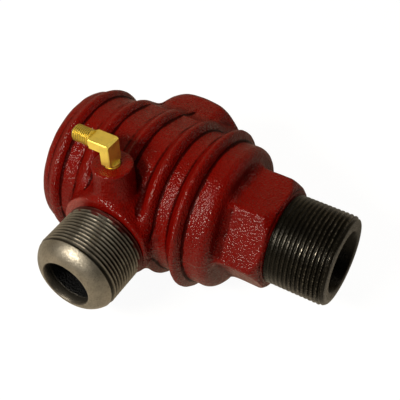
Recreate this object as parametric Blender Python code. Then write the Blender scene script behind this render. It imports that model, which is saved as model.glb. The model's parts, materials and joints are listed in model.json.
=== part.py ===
"""Non-return valve for a compressed-air line: a ribbed iron casting with a grey inlet nipple,
a black outlet nipple, a brass unloader elbow, and a spring-loaded lift check inside.

The axes of the inlet and the outlet cross inside the barrel. The outlet runs along +X, the inlet
comes in along -Y, the plugged service port looks along +Y, and the elbow's boss stands up along +Z.
"""

import bmesh
import bpy
from math import atan2, cos, pi, radians, sin, sqrt
from mathutils import Vector

# Clearance between pieces that touch
GAP = 0.0003

# Depth of a thread as a share of its pitch. Inside a neck each thread is a plain round at its root,
# or at its pitch line on the taper thread.
THREAD_DEPTH_RATIO = 0.64

# Barrel of the casting, a turned form about the outlet axis
BARREL_R = 0.0383
BARREL_WALL = 0.0063
BARREL_LEFT = 0.0485
END_WALL = 0.007
END_ROUND = 0.005

# Rim by the closed end, and the ribs round the barrel
RIM_OFFSET = 0.0105
RIM_HEIGHT = 0.0029
RIB_OFFSET = 0.0283
RIB_SPACINGS = (0.0199, 0.0196, 0.0171)
RIB_FIRST_HEIGHT = 0.0029
RIB_LAST_HEIGHT = 0.0051
RIB_LEFT_WIDTH = 0.0062
RIB_RIGHT_WIDTH = 0.0034

# Shoulder from the last rib down to the outlet neck
SHOULDER_LENGTH = 0.0166
SHOULDER_ROUND = 0.0055
SHOULDER_FALL = 0.0038

# Outlet neck and its nipple
OUTLET_BORE_R = 0.0159
OUTLET_NIPPLE_WALL = 0.0075
OUTLET_PITCH = 0.002309
OUTLET_TAPER = 0.03125
OUTLET_NECK_WALL = 0.0035
OUTLET_NECK_LENGTH = 0.0241
OUTLET_ENGAGED = 0.0225
OUTLET_STANDOUT = 0.0316
OUTLET_END_ROUND = 0.0036
OUTLET_END_DROP = 0.0022
OUTLET_STOP_LEDGE = 0.004
NECK_RING_LENGTH = 0.0008
NECK_RING_WALL = 0.0024

# Flared roots and turned-off corners of the hexagon necks
OUTLET_FLARE = 0.003
OUTLET_FLARE_LENGTH = 0.0144
OUTLET_CORNER_LENGTH = 0.0043
OUTLET_CORNER_DROP = 0.0038
REAR_FLARE = 0.005
REAR_FLARE_LENGTH = 0.0127
REAR_CORNER_LENGTH = 0.0036
REAR_CORNER_DROP = 0.0043

# Inlet neck and its nipple
INLET_BORE_R = 0.0131
INLET_NIPPLE_WALL = 0.00935
INLET_PITCH = 0.002
INLET_NECK_WALL = 0.0033
INLET_NECK_STANDOUT = 0.0072
INLET_FLARE = 0.004
INLET_FLARE_LENGTH = 0.0165
INLET_ENGAGED = 0.0097
INLET_THREAD_LENGTH = 0.025
INLET_RELIEF_LENGTH = 0.0012
INLET_NOSE_LENGTH = 0.0073
INLET_NOSE_BULGE = 0.0012
INLET_NOSE_FLAT = 0.0011
INLET_NOSE_STEP = 0.0005

# Unloader port, drilled into the free room between the inlet nipple and the seat
PORT_ROOM = 0.0056
PORT_R = 0.0014

# Valve seat, set into a web of the casting behind the inlet
WEB_THICKNESS = 0.005
SEAT_RING_WALL = 0.0042
SEAT_FLANGE_THICKNESS = 0.002
SEAT_BODY_PROUD = 0.0007
SEAT_LIP_INSET = 0.0011
SEAT_LIP_WIDTH = 0.0012
SEAT_LIP_HEIGHT = 0.0014
GASKET_THICKNESS = 0.0008

# Disc, seal and stem
SEAL_THICKNESS = 0.004
SEAL_PROUD = 0.0015
SEAL_COVER = 0.0009
DISC_RIM_WALL = 0.001
DISC_THICKNESS = 0.0055
STEM_R = 0.004
STEM_COLLAR_THICKNESS = 0.003
STEM_TAIL = 0.0015
SEAL_WASHER_WIDTH = 0.005
SEAL_WASHER_THICKNESS = 0.0015
SEAL_NUT_WALL = 0.0025
SEAL_NUT_HEIGHT = 0.005
LIFT = 0.008

# Rear port and its collar plug with the guide tower
REAR_STANDOUT = 0.0103
REAR_NECK_WALL = 0.0105
PLUG_THREAD_R = 0.01662
PLUG_ENGAGED = 0.0182
PLUG_COLLAR_LEDGE = 0.0029
PLUG_COLLAR_THICKNESS = 0.004
PLUG_CHAMFER = 0.0008
PLUG_SOCKET_R = 0.0098
PLUG_SOCKET_DEPTH = 0.0032
PLUG_WASHER_THICKNESS = 0.0014
TOWER_WALL = 0.0014
BUSH_WALL = 0.0016
BUSH_LENGTH = 0.014
STEM_TIP_ROOM = 0.002

# Return spring
SPRING_WIRE_R = 0.0007
SPRING_CLEARANCE = 0.0006
SPRING_TURNS = 7

# Boss and brass elbow
BOSS_WALL = 0.00534
BOSS_HEIGHT = 0.017
BOSS_CHAMFER = 0.0006
BOSS_FLARE = 0.002
ELBOW_THREAD_R = 0.00486
ELBOW_PITCH = 0.000907
ELBOW_ENGAGED = 0.008
ELBOW_NECK = 0.0011
ELBOW_WIDTH = 0.0086
ELBOW_THICKNESS = 0.0052
ELBOW_OFFSET = 0.0005
ELBOW_EDGE = 0.0005
ELBOW_CORNER_CUT = 0.0009
ELBOW_LEG = 0.0105
ELBOW_ARM = 0.0094
ELBOW_ARM_THREAD = 0.0107
ELBOW_ARM_THREAD_R = 0.0042
ELBOW_BORE_R = 0.0012

# Facets round each turned form
BARREL_SIDES = 44
NECK_SIDES = 40
RING_SIDES = 32
SMALL_SIDES = 20
BORE_SIDES = 12
WIRE_SIDES = 6
WIRE_STEPS = 12
ROUND_STEPS = 4
NOSE_STEPS = 6
SMOOTH_ANGLE = radians(35)

# How far a cutter or a joined form runs past the face that it has to clear
OVERRUN = 0.002

# Finishes: colour, metallic, roughness
RED_ENAMEL = ((0.30, 0.012, 0.008), 0.0, 0.25)
BLACK_STEEL = ((0.03, 0.03, 0.028), 0.6, 0.38)
GREY_STEEL = ((0.22, 0.21, 0.185), 0.9, 0.36)
BRASS = ((0.72, 0.48, 0.12), 1.0, 0.25)
BRIGHT_STEEL = ((0.55, 0.55, 0.53), 1.0, 0.3)
RUBBER = ((0.02, 0.02, 0.02), 0.0, 0.7)
FIBRE = ((0.24, 0.10, 0.06), 0.0, 0.8)
BRONZE = ((0.50, 0.29, 0.12), 1.0, 0.4)
COPPER = ((0.62, 0.27, 0.16), 1.0, 0.35)

# Places worked out from the sizes: barrel and outlet, along X
CHAMBER_R = BARREL_R - BARREL_WALL
RIB_PLACES = [RIB_OFFSET - BARREL_LEFT + sum(RIB_SPACINGS[:i]) for i in range(len(RIB_SPACINGS) + 1)]
BARREL_RIGHT = RIB_PLACES[-1] + SHOULDER_LENGTH
LOWEST_R = BARREL_R + max(RIB_FIRST_HEIGHT, RIB_LAST_HEIGHT, RIM_HEIGHT)
OUTLET_THREAD_R = OUTLET_BORE_R + OUTLET_NIPPLE_WALL
OUTLET_ROOT_R = OUTLET_THREAD_R - THREAD_DEPTH_RATIO * OUTLET_PITCH / 2
OUTLET_HOLE_R = OUTLET_ROOT_R + GAP
OUTLET_FACE_X = BARREL_RIGHT + OUTLET_NECK_LENGTH
OUTLET_END_X = OUTLET_FACE_X + OUTLET_STANDOUT
OUTLET_INNER_X = OUTLET_FACE_X - OUTLET_ENGAGED
OUTLET_FLATS_R = OUTLET_HOLE_R + OUTLET_NECK_WALL
OUTLET_HEX_R = OUTLET_FLATS_R / cos(pi / 6)

# Places worked out from the sizes: inlet nipple and seat, along -Y
INLET_THREAD_R = INLET_BORE_R + INLET_NIPPLE_WALL
INLET_ROOT_R = INLET_THREAD_R - THREAD_DEPTH_RATIO * INLET_PITCH
INLET_HOLE_R = INLET_ROOT_R + GAP
INLET_NECK_R = INLET_HOLE_R + INLET_NECK_WALL
INLET_FACE_Y = -(BARREL_R + INLET_NECK_STANDOUT)
INLET_INNER_Y = INLET_FACE_Y + INLET_ENGAGED
INLET_RELIEF_Y = INLET_FACE_Y - INLET_THREAD_LENGTH
INLET_NOSE_START_Y = INLET_RELIEF_Y - INLET_RELIEF_LENGTH
INLET_NOSE_Y = INLET_NOSE_START_Y - INLET_NOSE_LENGTH
SEAT_FLANGE_Y = INLET_INNER_Y + PORT_ROOM
GASKET_Y = SEAT_FLANGE_Y + SEAT_FLANGE_THICKNESS + GAP
WEB_Y = GASKET_Y + GASKET_THICKNESS + GAP
WEB_END_Y = WEB_Y + WEB_THICKNESS
SEAT_FLANGE_R = INLET_HOLE_R - GAP
SEAT_BODY_R = INLET_BORE_R + SEAT_RING_WALL
SEAT_FACE_Y = WEB_END_Y + SEAT_BODY_PROUD
SEAT_LIP_Y = SEAT_FACE_Y + SEAT_LIP_HEIGHT
SEAT_LIP_IN_R = INLET_BORE_R + SEAT_LIP_INSET
SEAT_LIP_OUT_R = SEAT_LIP_IN_R + SEAT_LIP_WIDTH

# Places worked out from the sizes: disc, seal and stem, upwards from the seat along +Y
SEAL_Y = SEAT_LIP_Y + GAP
SEAL_R = SEAT_LIP_OUT_R + SEAL_COVER
DISC_Y = SEAL_Y + SEAL_THICKNESS + GAP
DISC_R = SEAL_R + GAP + DISC_RIM_WALL
DISC_BACK_Y = DISC_Y + DISC_THICKNESS
STEM_HOLE_R = STEM_R + GAP
STEM_COLLAR_Y = DISC_BACK_Y + GAP
STEM_COLLAR_END_Y = STEM_COLLAR_Y + STEM_COLLAR_THICKNESS
SEAL_WASHER_Y = SEAL_Y - GAP - SEAL_WASHER_THICKNESS
SEAL_NUT_Y = SEAL_WASHER_Y - GAP - SEAL_NUT_HEIGHT
STEM_START_Y = SEAL_NUT_Y - STEM_TAIL

# Places worked out from the sizes: rear port, plug, bush and spring
REAR_FACE_Y = BARREL_R + REAR_STANDOUT
REAR_HEX_R = (PLUG_THREAD_R + REAR_NECK_WALL) / cos(pi / 6)
PLUG_SHANK_R = PLUG_THREAD_R - GAP
PLUG_WASHER_Y = REAR_FACE_Y + GAP
PLUG_COLLAR_Y = PLUG_WASHER_Y + PLUG_WASHER_THICKNESS + GAP
PLUG_COLLAR_R = PLUG_THREAD_R + PLUG_COLLAR_LEDGE
PLUG_END_Y = PLUG_COLLAR_Y + PLUG_COLLAR_THICKNESS
PLUG_SEAT_Y = REAR_FACE_Y - PLUG_ENGAGED
TOWER_Y = STEM_COLLAR_END_Y + LIFT + GAP
BUSH_R = STEM_HOLE_R + BUSH_WALL
TOWER_BORE_R = BUSH_R + GAP
TOWER_R = TOWER_BORE_R + TOWER_WALL
BUSH_END_Y = TOWER_Y + BUSH_LENGTH
PLUG_BLIND_Y = BUSH_END_Y + LIFT + STEM_TIP_ROOM
SPRING_R = TOWER_R + SPRING_CLEARANCE + SPRING_WIRE_R
SPRING_START_Y = DISC_BACK_Y + GAP + SPRING_WIRE_R
SPRING_END_Y = PLUG_SEAT_Y - GAP - SPRING_WIRE_R

# Places worked out from the sizes: boss and elbow
BOSS_Y = INLET_INNER_Y + PORT_ROOM / 2
BOSS_R = ELBOW_THREAD_R + BOSS_WALL
BOSS_TOP_Z = INLET_NECK_R + BOSS_HEIGHT
ELBOW_ROOT_R = ELBOW_THREAD_R - THREAD_DEPTH_RATIO * ELBOW_PITCH
ELBOW_START_Z = BOSS_TOP_Z - ELBOW_ENGAGED
ELBOW_BODY_Z = BOSS_TOP_Z + ELBOW_NECK
ELBOW_AXIS_Z = ELBOW_BODY_Z + ELBOW_LEG
ELBOW_HALF = ELBOW_WIDTH / 2
ELBOW_ARM_END_X = -(ELBOW_ARM + ELBOW_ARM_THREAD)

# The model's origin lies under the middle of the valve, at the height of the lowest rib
ORIGIN_SHIFT = Vector(((BARREL_LEFT - OUTLET_END_X) / 2, -(INLET_NOSE_Y + PLUG_END_Y) / 2, LOWEST_R))


def clear_scene():
    """Start from an empty scene."""
    for old in list(bpy.data.objects):
        bpy.data.objects.remove(old)


def link(name, bm):
    """Turn a bmesh into a linked object with outward faces and smooth rounds."""
    bmesh.ops.remove_doubles(bm, verts=bm.verts, dist=1e-6)
    bmesh.ops.recalc_face_normals(bm, faces=bm.faces)
    mesh = bpy.data.meshes.new(name)
    bm.to_mesh(mesh)
    bm.free()
    mesh.shade_smooth()
    mesh.set_sharp_from_angle(angle=SMOOTH_ANGLE)
    obj = bpy.data.objects.new(name, mesh)
    bpy.context.scene.collection.objects.link(obj)
    return obj


def turned(name, profile, axis, sides):
    """Spin a profile of (along, radius) points one full turn about the X, Y or Z axis.

    A profile whose ends lie on the axis makes a solid bar, any other one makes a ring.
    """
    along, out = {"X": (Vector((1, 0, 0)), Vector((0, 1, 0))),
                  "Y": (Vector((0, 1, 0)), Vector((1, 0, 0))),
                  "Z": (Vector((0, 0, 1)), Vector((1, 0, 0)))}[axis]
    bm = bmesh.new()
    verts = [bm.verts.new(along * place + out * radius) for place, radius in profile]
    pairs = list(zip(verts, verts[1:]))
    if profile[0][1] > 0:
        pairs.append((verts[-1], verts[0]))
    edges = [bm.edges.new(pair) for pair in pairs]
    bmesh.ops.spin(bm, geom=verts + edges, cent=(0, 0, 0), axis=along, angle=2 * pi,
                   steps=sides, use_merge=True)
    return link(name, bm)


def sleeve(name, start, end, inner, outer, axis, sides):
    """A plain ring or sleeve."""
    return turned(name, [(start, inner), (start, outer), (end, outer), (end, inner)], axis, sides)


def bar(name, start, end, radius, axis, sides):
    """A plain bar, round or with few sides."""
    return turned(name, [(start, 0), (start, radius), (end, radius), (end, 0)], axis, sides)


def quarter(place, radius, length, height, steps=ROUND_STEPS):
    """A hollow quarter round that starts steep and ends level with the axis."""
    turns = [pi / 2 * i / steps for i in range(steps + 1)]
    return [(place + length * (1 - cos(t)), radius - height * sin(t)) for t in turns]


def surface_place(distance):
    """How far from the outlet axis the barrel's surface lies, at a distance beside that axis."""
    return sqrt(BARREL_R ** 2 - min(distance, BARREL_R) ** 2)


def shape(target, operation, tool):
    """Join, cut or intersect a hidden tool shape with a live exact Boolean."""
    tool.hide_render = True
    tool.display_type = "WIRE"
    step = target.modifiers.new(operation.title() + " " + tool.name, "BOOLEAN")
    step.operation = operation
    step.solver = "EXACT"
    step.object = tool


def paint(obj, values):
    """Give an object its own material."""
    colour, metallic, roughness = values
    material = bpy.data.materials.new(obj.name)
    material.use_nodes = True
    shader = material.node_tree.nodes["Principled BSDF"]
    shader.inputs["Base Color"].default_value = (*colour, 1.0)
    shader.inputs["Metallic"].default_value = metallic
    shader.inputs["Roughness"].default_value = roughness
    obj.data.materials.append(material)


def rib_height(index):
    """The ribs grow evenly from the closed end to the outlet."""
    share = index / (len(RIB_PLACES) - 1)
    return RIB_FIRST_HEIGHT + (RIB_LAST_HEIGHT - RIB_FIRST_HEIGHT) * share


def barrel_outline():
    """The barrel's profile: rounded end, rim and ribs that are steeper on their right, shoulder."""
    points = [(-BARREL_LEFT, 0)]
    for i in range(ROUND_STEPS + 1):
        turn = pi / 2 * i / ROUND_STEPS
        points.append((END_ROUND * (1 - cos(turn)) - BARREL_LEFT, BARREL_R - END_ROUND * (1 - sin(turn))))
    crests = [(RIM_OFFSET - BARREL_LEFT, RIM_HEIGHT, RIM_OFFSET - END_ROUND)]
    crests += [(place, rib_height(index), RIB_LEFT_WIDTH) for index, place in enumerate(RIB_PLACES)]
    for place, height, left_width in crests:
        for share in (-1.0, -0.62, -0.3, 0.0, 0.35, 0.68, 1.0):
            width = left_width if share < 0 else RIB_RIGHT_WIDTH
            swell = (1 + cos(pi * share)) / 2
            points.append((place + width * share, BARREL_R + height * swell))
    for i in range(ROUND_STEPS + 1):
        turn = radians(75) * i / ROUND_STEPS
        points.append((BARREL_RIGHT - SHOULDER_ROUND * (1 - sin(turn)),
                       BARREL_R - SHOULDER_ROUND * (1 - cos(turn))))
    last_x, last_r = points[-1]
    foot_x = BARREL_RIGHT + SHOULDER_FALL
    points += [(foot_x - (foot_x - last_x) * cos(turn), last_r - (last_r - OUTLET_FLATS_R) * sin(turn))
               for turn in (pi / 6, pi / 3, pi / 2)]
    points.append((foot_x, 0))
    return points


def hex_neck(name, start, end, corner_r, root_flare, corner_cut, axis):
    """A hexagon neck with a flared root, its corners turned off at the mouth."""
    flare, flare_length = root_flare
    drop, length = corner_cut
    points = [(start, 0)] + quarter(start, corner_r + flare, flare_length, flare)
    points += [(end, corner_r), (end, 0)]
    neck = turned(name, points, axis, 6)
    wide_r = corner_r + flare + OVERRUN
    cone = [(start - OVERRUN, 0), (start - OVERRUN, wide_r), (end - 2 * length, wide_r),
            (end - length, corner_r), (end, corner_r - drop), (end, 0)]
    shape(neck, "INTERSECT", turned(name + "_corner_cone", cone, axis, NECK_SIDES))
    return neck


def make_valve_body():
    """The casting: barrel, four necks joined to it, then the chamber and the holes cut out."""
    body = turned("valve_body", barrel_outline(), "X", BARREL_SIDES)

    outlet_root = BARREL_RIGHT - SHOULDER_ROUND
    shape(body, "UNION", hex_neck("outlet_hexagon", outlet_root, OUTLET_FACE_X - NECK_RING_LENGTH,
                                  OUTLET_HEX_R, (OUTLET_FLARE, OUTLET_FLARE_LENGTH),
                                  (OUTLET_CORNER_DROP, OUTLET_CORNER_LENGTH), "X"))
    shape(body, "UNION", bar("outlet_ring", outlet_root, OUTLET_FACE_X,
                             OUTLET_HOLE_R + NECK_RING_WALL, "X", NECK_SIDES))
    rear_root = surface_place((REAR_HEX_R + REAR_FLARE) * cos(pi / 6))
    shape(body, "UNION", hex_neck("rear_hexagon", rear_root, REAR_FACE_Y, REAR_HEX_R,
                                  (REAR_FLARE, REAR_FLARE_LENGTH),
                                  (REAR_CORNER_DROP, REAR_CORNER_LENGTH), "Y"))

    inlet_root = -surface_place(INLET_NECK_R + INLET_FLARE)
    inlet_flare = quarter(inlet_root, INLET_NECK_R + INLET_FLARE, -INLET_FLARE_LENGTH, INLET_FLARE)
    inlet = [(WEB_END_Y, 0), (WEB_END_Y, INLET_NECK_R), (inlet_root, INLET_NECK_R)] + inlet_flare
    inlet += [(INLET_FACE_Y, INLET_NECK_R), (INLET_FACE_Y, 0)]
    chamber = turned("chamber", chamber_outline(), "X", BARREL_SIDES)
    shape(body, "DIFFERENCE", chamber)
    shape(body, "UNION", turned("inlet_neck", inlet, "Y", NECK_SIDES))

    boss_foot = quarter(0, BOSS_R + BOSS_FLARE, INLET_NECK_R + BOSS_FLARE, BOSS_FLARE)
    boss = [(0, 0)] + boss_foot + [(BOSS_TOP_Z - BOSS_CHAMFER, BOSS_R)]
    boss += [(BOSS_TOP_Z, BOSS_R - BOSS_CHAMFER), (BOSS_TOP_Z, 0)]
    boss_former = turned("boss", boss, "Z", RING_SIDES)
    boss_former.location.y = BOSS_Y
    shape(body, "UNION", boss_former)

    shape(body, "DIFFERENCE", turned("inlet_hole", inlet_hole_outline(), "Y", NECK_SIDES))
    shape(body, "DIFFERENCE", bar("plug_hole", 0, REAR_FACE_Y + OVERRUN, PLUG_THREAD_R, "Y", NECK_SIDES))
    unloader = [(0, 0), (0, PORT_R), (ELBOW_START_Z - GAP, PORT_R), (ELBOW_START_Z - GAP, ELBOW_ROOT_R),
                (BOSS_TOP_Z + OVERRUN, ELBOW_ROOT_R), (BOSS_TOP_Z + OVERRUN, 0)]
    unloader_hole = turned("unloader_hole", unloader, "Z", SMALL_SIDES)
    unloader_hole.location.y = BOSS_Y
    shape(body, "DIFFERENCE", unloader_hole)
    paint(body, RED_ENAMEL)
    return body


def chamber_outline():
    """The hollow of the barrel, its cone to the outlet, the nipple's stop and its hole."""
    stop_x = OUTLET_INNER_X - GAP
    cone_end = stop_x - NECK_RING_WALL
    cone_start = BARREL_RIGHT - SHOULDER_ROUND - BARREL_WALL / 2
    throat_r = OUTLET_HOLE_R - OUTLET_STOP_LEDGE
    left = END_WALL - BARREL_LEFT
    points = [(left, 0), (left, CHAMBER_R - END_ROUND), (left + END_ROUND, CHAMBER_R)]
    points += [(cone_start, CHAMBER_R), (cone_end, throat_r), (stop_x, throat_r), (stop_x, OUTLET_HOLE_R),
               (OUTLET_FACE_X + OVERRUN, OUTLET_HOLE_R), (OUTLET_FACE_X + OVERRUN, 0)]
    return points


def inlet_hole_outline():
    """The inlet's threaded hole and the smaller hole through the web for the seat ring."""
    web_hole_r = SEAT_BODY_R + GAP
    return [(WEB_END_Y + OVERRUN, 0), (WEB_END_Y + OVERRUN, web_hole_r), (WEB_Y, web_hole_r),
            (WEB_Y, INLET_HOLE_R), (INLET_FACE_Y - OVERRUN, INLET_HOLE_R), (INLET_FACE_Y - OVERRUN, 0)]


def make_outlet_nipple():
    """Taper-threaded pipe nipple: thread crests outside the neck, plain worn end."""
    crest_start = OUTLET_FACE_X + GAP
    crest_end = OUTLET_END_X - OUTLET_END_ROUND
    crest_start_r = OUTLET_THREAD_R + OUTLET_TAPER * (OUTLET_END_X - crest_start)
    profile = [(OUTLET_INNER_X, OUTLET_BORE_R), (OUTLET_INNER_X, OUTLET_ROOT_R),
               (crest_start, OUTLET_ROOT_R), (crest_start, crest_start_r)]
    for i in range(ROUND_STEPS + 1):
        turn = pi / 2 * i / ROUND_STEPS
        profile.append((crest_end + OUTLET_END_ROUND * sin(turn),
                        OUTLET_THREAD_R - OUTLET_END_DROP * (1 - cos(turn))))
    profile.append((OUTLET_END_X, OUTLET_BORE_R))
    nipple = turned("outlet_nipple", profile, "X", NECK_SIDES)
    paint(nipple, BLACK_STEEL)
    return nipple


def make_inlet_nipple():
    """Union nipple: thread crests, a turned relief, and a domed nose with a narrow flat."""
    nose_r = INLET_THREAD_R - INLET_NOSE_STEP
    flat_r = INLET_BORE_R + INLET_NOSE_FLAT
    lean = atan2(INLET_NOSE_LENGTH, nose_r - flat_r)
    profile = [(INLET_INNER_Y, INLET_BORE_R), (INLET_INNER_Y, INLET_ROOT_R),
               (INLET_FACE_Y - GAP, INLET_ROOT_R), (INLET_FACE_Y - GAP, INLET_THREAD_R),
               (INLET_RELIEF_Y, INLET_THREAD_R), (INLET_RELIEF_Y, INLET_ROOT_R),
               (INLET_NOSE_START_Y, INLET_ROOT_R)]
    for i in range(NOSE_STEPS + 1):
        share = i / NOSE_STEPS
        bulge = INLET_NOSE_BULGE * 4 * share * (1 - share)
        profile.append((INLET_NOSE_START_Y - INLET_NOSE_LENGTH * share - bulge * cos(lean),
                        nose_r + (flat_r - nose_r) * share + bulge * sin(lean)))
    profile.append((INLET_NOSE_Y, INLET_BORE_R))
    nipple = turned("inlet_nipple", profile, "Y", NECK_SIDES)
    paint(nipple, GREY_STEEL)
    return nipple


def make_seat():
    """The seat ring with its flange and raised lip, and the gasket under the flange."""
    flange_end = SEAT_FLANGE_Y + SEAT_FLANGE_THICKNESS
    profile = [(SEAT_FLANGE_Y, INLET_BORE_R), (SEAT_FLANGE_Y, SEAT_FLANGE_R), (flange_end, SEAT_FLANGE_R),
               (flange_end, SEAT_BODY_R), (SEAT_FACE_Y, SEAT_BODY_R), (SEAT_FACE_Y, SEAT_LIP_OUT_R),
               (SEAT_LIP_Y, SEAT_LIP_OUT_R), (SEAT_LIP_Y, SEAT_LIP_IN_R), (SEAT_FACE_Y, SEAT_LIP_IN_R),
               (SEAT_FACE_Y, INLET_BORE_R)]
    ring = turned("seat_ring", profile, "Y", RING_SIDES)
    paint(ring, BRONZE)
    gasket = sleeve("seat_gasket", GASKET_Y, GASKET_Y + GASKET_THICKNESS, SEAT_BODY_R + GAP,
                    SEAT_FLANGE_R, "Y", RING_SIDES)
    paint(gasket, FIBRE)
    return [ring, gasket]


def make_moving_pieces():
    """Disc, seal, washer, nut and stem, which lift together off the seat."""
    rim_y = SEAL_Y + SEAL_PROUD
    rim_bore_r = SEAL_R + GAP
    disc = turned("valve_disc", [(rim_y, rim_bore_r), (rim_y, DISC_R), (DISC_BACK_Y, DISC_R),
                                 (DISC_BACK_Y, STEM_HOLE_R), (DISC_Y, STEM_HOLE_R), (DISC_Y, rim_bore_r)],
                  "Y", RING_SIDES)
    paint(disc, BRIGHT_STEEL)
    seal = sleeve("disc_seal", SEAL_Y, SEAL_Y + SEAL_THICKNESS, STEM_HOLE_R, SEAL_R, "Y", RING_SIDES)
    paint(seal, RUBBER)
    washer = sleeve("seal_washer", SEAL_WASHER_Y, SEAL_WASHER_Y + SEAL_WASHER_THICKNESS, STEM_HOLE_R,
                    STEM_HOLE_R + SEAL_WASHER_WIDTH, "Y", SMALL_SIDES)
    paint(washer, BRIGHT_STEEL)
    nut_r = (STEM_HOLE_R + SEAL_NUT_WALL) / cos(pi / 6)
    nut = bar("seal_nut", SEAL_NUT_Y, SEAL_NUT_Y + SEAL_NUT_HEIGHT, nut_r, "Y", 6)
    shape(nut, "DIFFERENCE", bar("nut_hole", SEAL_NUT_Y - OVERRUN, SEAL_NUT_Y + SEAL_NUT_HEIGHT + OVERRUN,
                                 STEM_HOLE_R, "Y", SMALL_SIDES))
    paint(nut, BRIGHT_STEEL)
    stem = turned("guide_stem", [(STEM_START_Y, 0), (STEM_START_Y, STEM_R), (STEM_COLLAR_Y, STEM_R),
                                 (STEM_COLLAR_Y, TOWER_R), (STEM_COLLAR_END_Y, TOWER_R),
                                 (STEM_COLLAR_END_Y, STEM_R), (BUSH_END_Y, STEM_R), (BUSH_END_Y, 0)],
                  "Y", SMALL_SIDES)
    paint(stem, BRIGHT_STEEL)
    return [disc, seal, washer, nut, stem]


def make_rear_plug():
    """Collar plug with a guide tower, a blind bore and a hexagon socket, its washer and bush."""
    profile = [(TOWER_Y, 0), (TOWER_Y, TOWER_R), (PLUG_SEAT_Y, TOWER_R),
               (PLUG_SEAT_Y, PLUG_SHANK_R), (PLUG_COLLAR_Y, PLUG_SHANK_R), (PLUG_COLLAR_Y, PLUG_COLLAR_R),
               (PLUG_END_Y - PLUG_CHAMFER, PLUG_COLLAR_R), (PLUG_END_Y, PLUG_COLLAR_R - PLUG_CHAMFER),
               (PLUG_END_Y, 0)]
    plug = turned("rear_plug", profile, "Y", RING_SIDES)
    shape(plug, "DIFFERENCE", bar("blind_bore", TOWER_Y - OVERRUN, PLUG_BLIND_Y, TOWER_BORE_R, "Y",
                                  SMALL_SIDES))
    shape(plug, "DIFFERENCE", bar("key_socket", PLUG_END_Y - PLUG_SOCKET_DEPTH, PLUG_END_Y + OVERRUN,
                                  PLUG_SOCKET_R, "Y", 6))
    paint(plug, BRIGHT_STEEL)
    washer = sleeve("plug_washer", PLUG_WASHER_Y, PLUG_WASHER_Y + PLUG_WASHER_THICKNESS, PLUG_THREAD_R,
                    PLUG_COLLAR_R, "Y", RING_SIDES)
    paint(washer, COPPER)
    bush = sleeve("guide_bush", TOWER_Y, BUSH_END_Y, STEM_HOLE_R, BUSH_R, "Y", SMALL_SIDES)
    paint(bush, BRONZE)
    return [plug, washer, bush]


def make_return_spring():
    """Helical compression spring between the disc and the plug, a wire swept along its coil."""
    bm = bmesh.new()
    steps = SPRING_TURNS * WIRE_STEPS
    rings = []
    for i in range(steps + 1):
        turn = 2 * pi * i / WIRE_STEPS
        out = Vector((cos(turn), 0, sin(turn)))
        rise = SPRING_START_Y + (SPRING_END_Y - SPRING_START_Y) * i / steps
        centre = out * SPRING_R + Vector((0, rise, 0))
        sides = [2 * pi * k / WIRE_SIDES for k in range(WIRE_SIDES)]
        rings.append([bm.verts.new(centre + (out * cos(a) + Vector((0, sin(a), 0))) * SPRING_WIRE_R)
                      for a in sides])
    for low, high in zip(rings, rings[1:]):
        for k in range(WIRE_SIDES):
            after = (k + 1) % WIRE_SIDES
            bm.faces.new((low[k], low[after], high[after], high[k]))
    bm.faces.new(rings[0])
    bm.faces.new(rings[-1])
    spring = link("return_spring", bm)
    paint(spring, BRIGHT_STEEL)
    return spring


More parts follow.
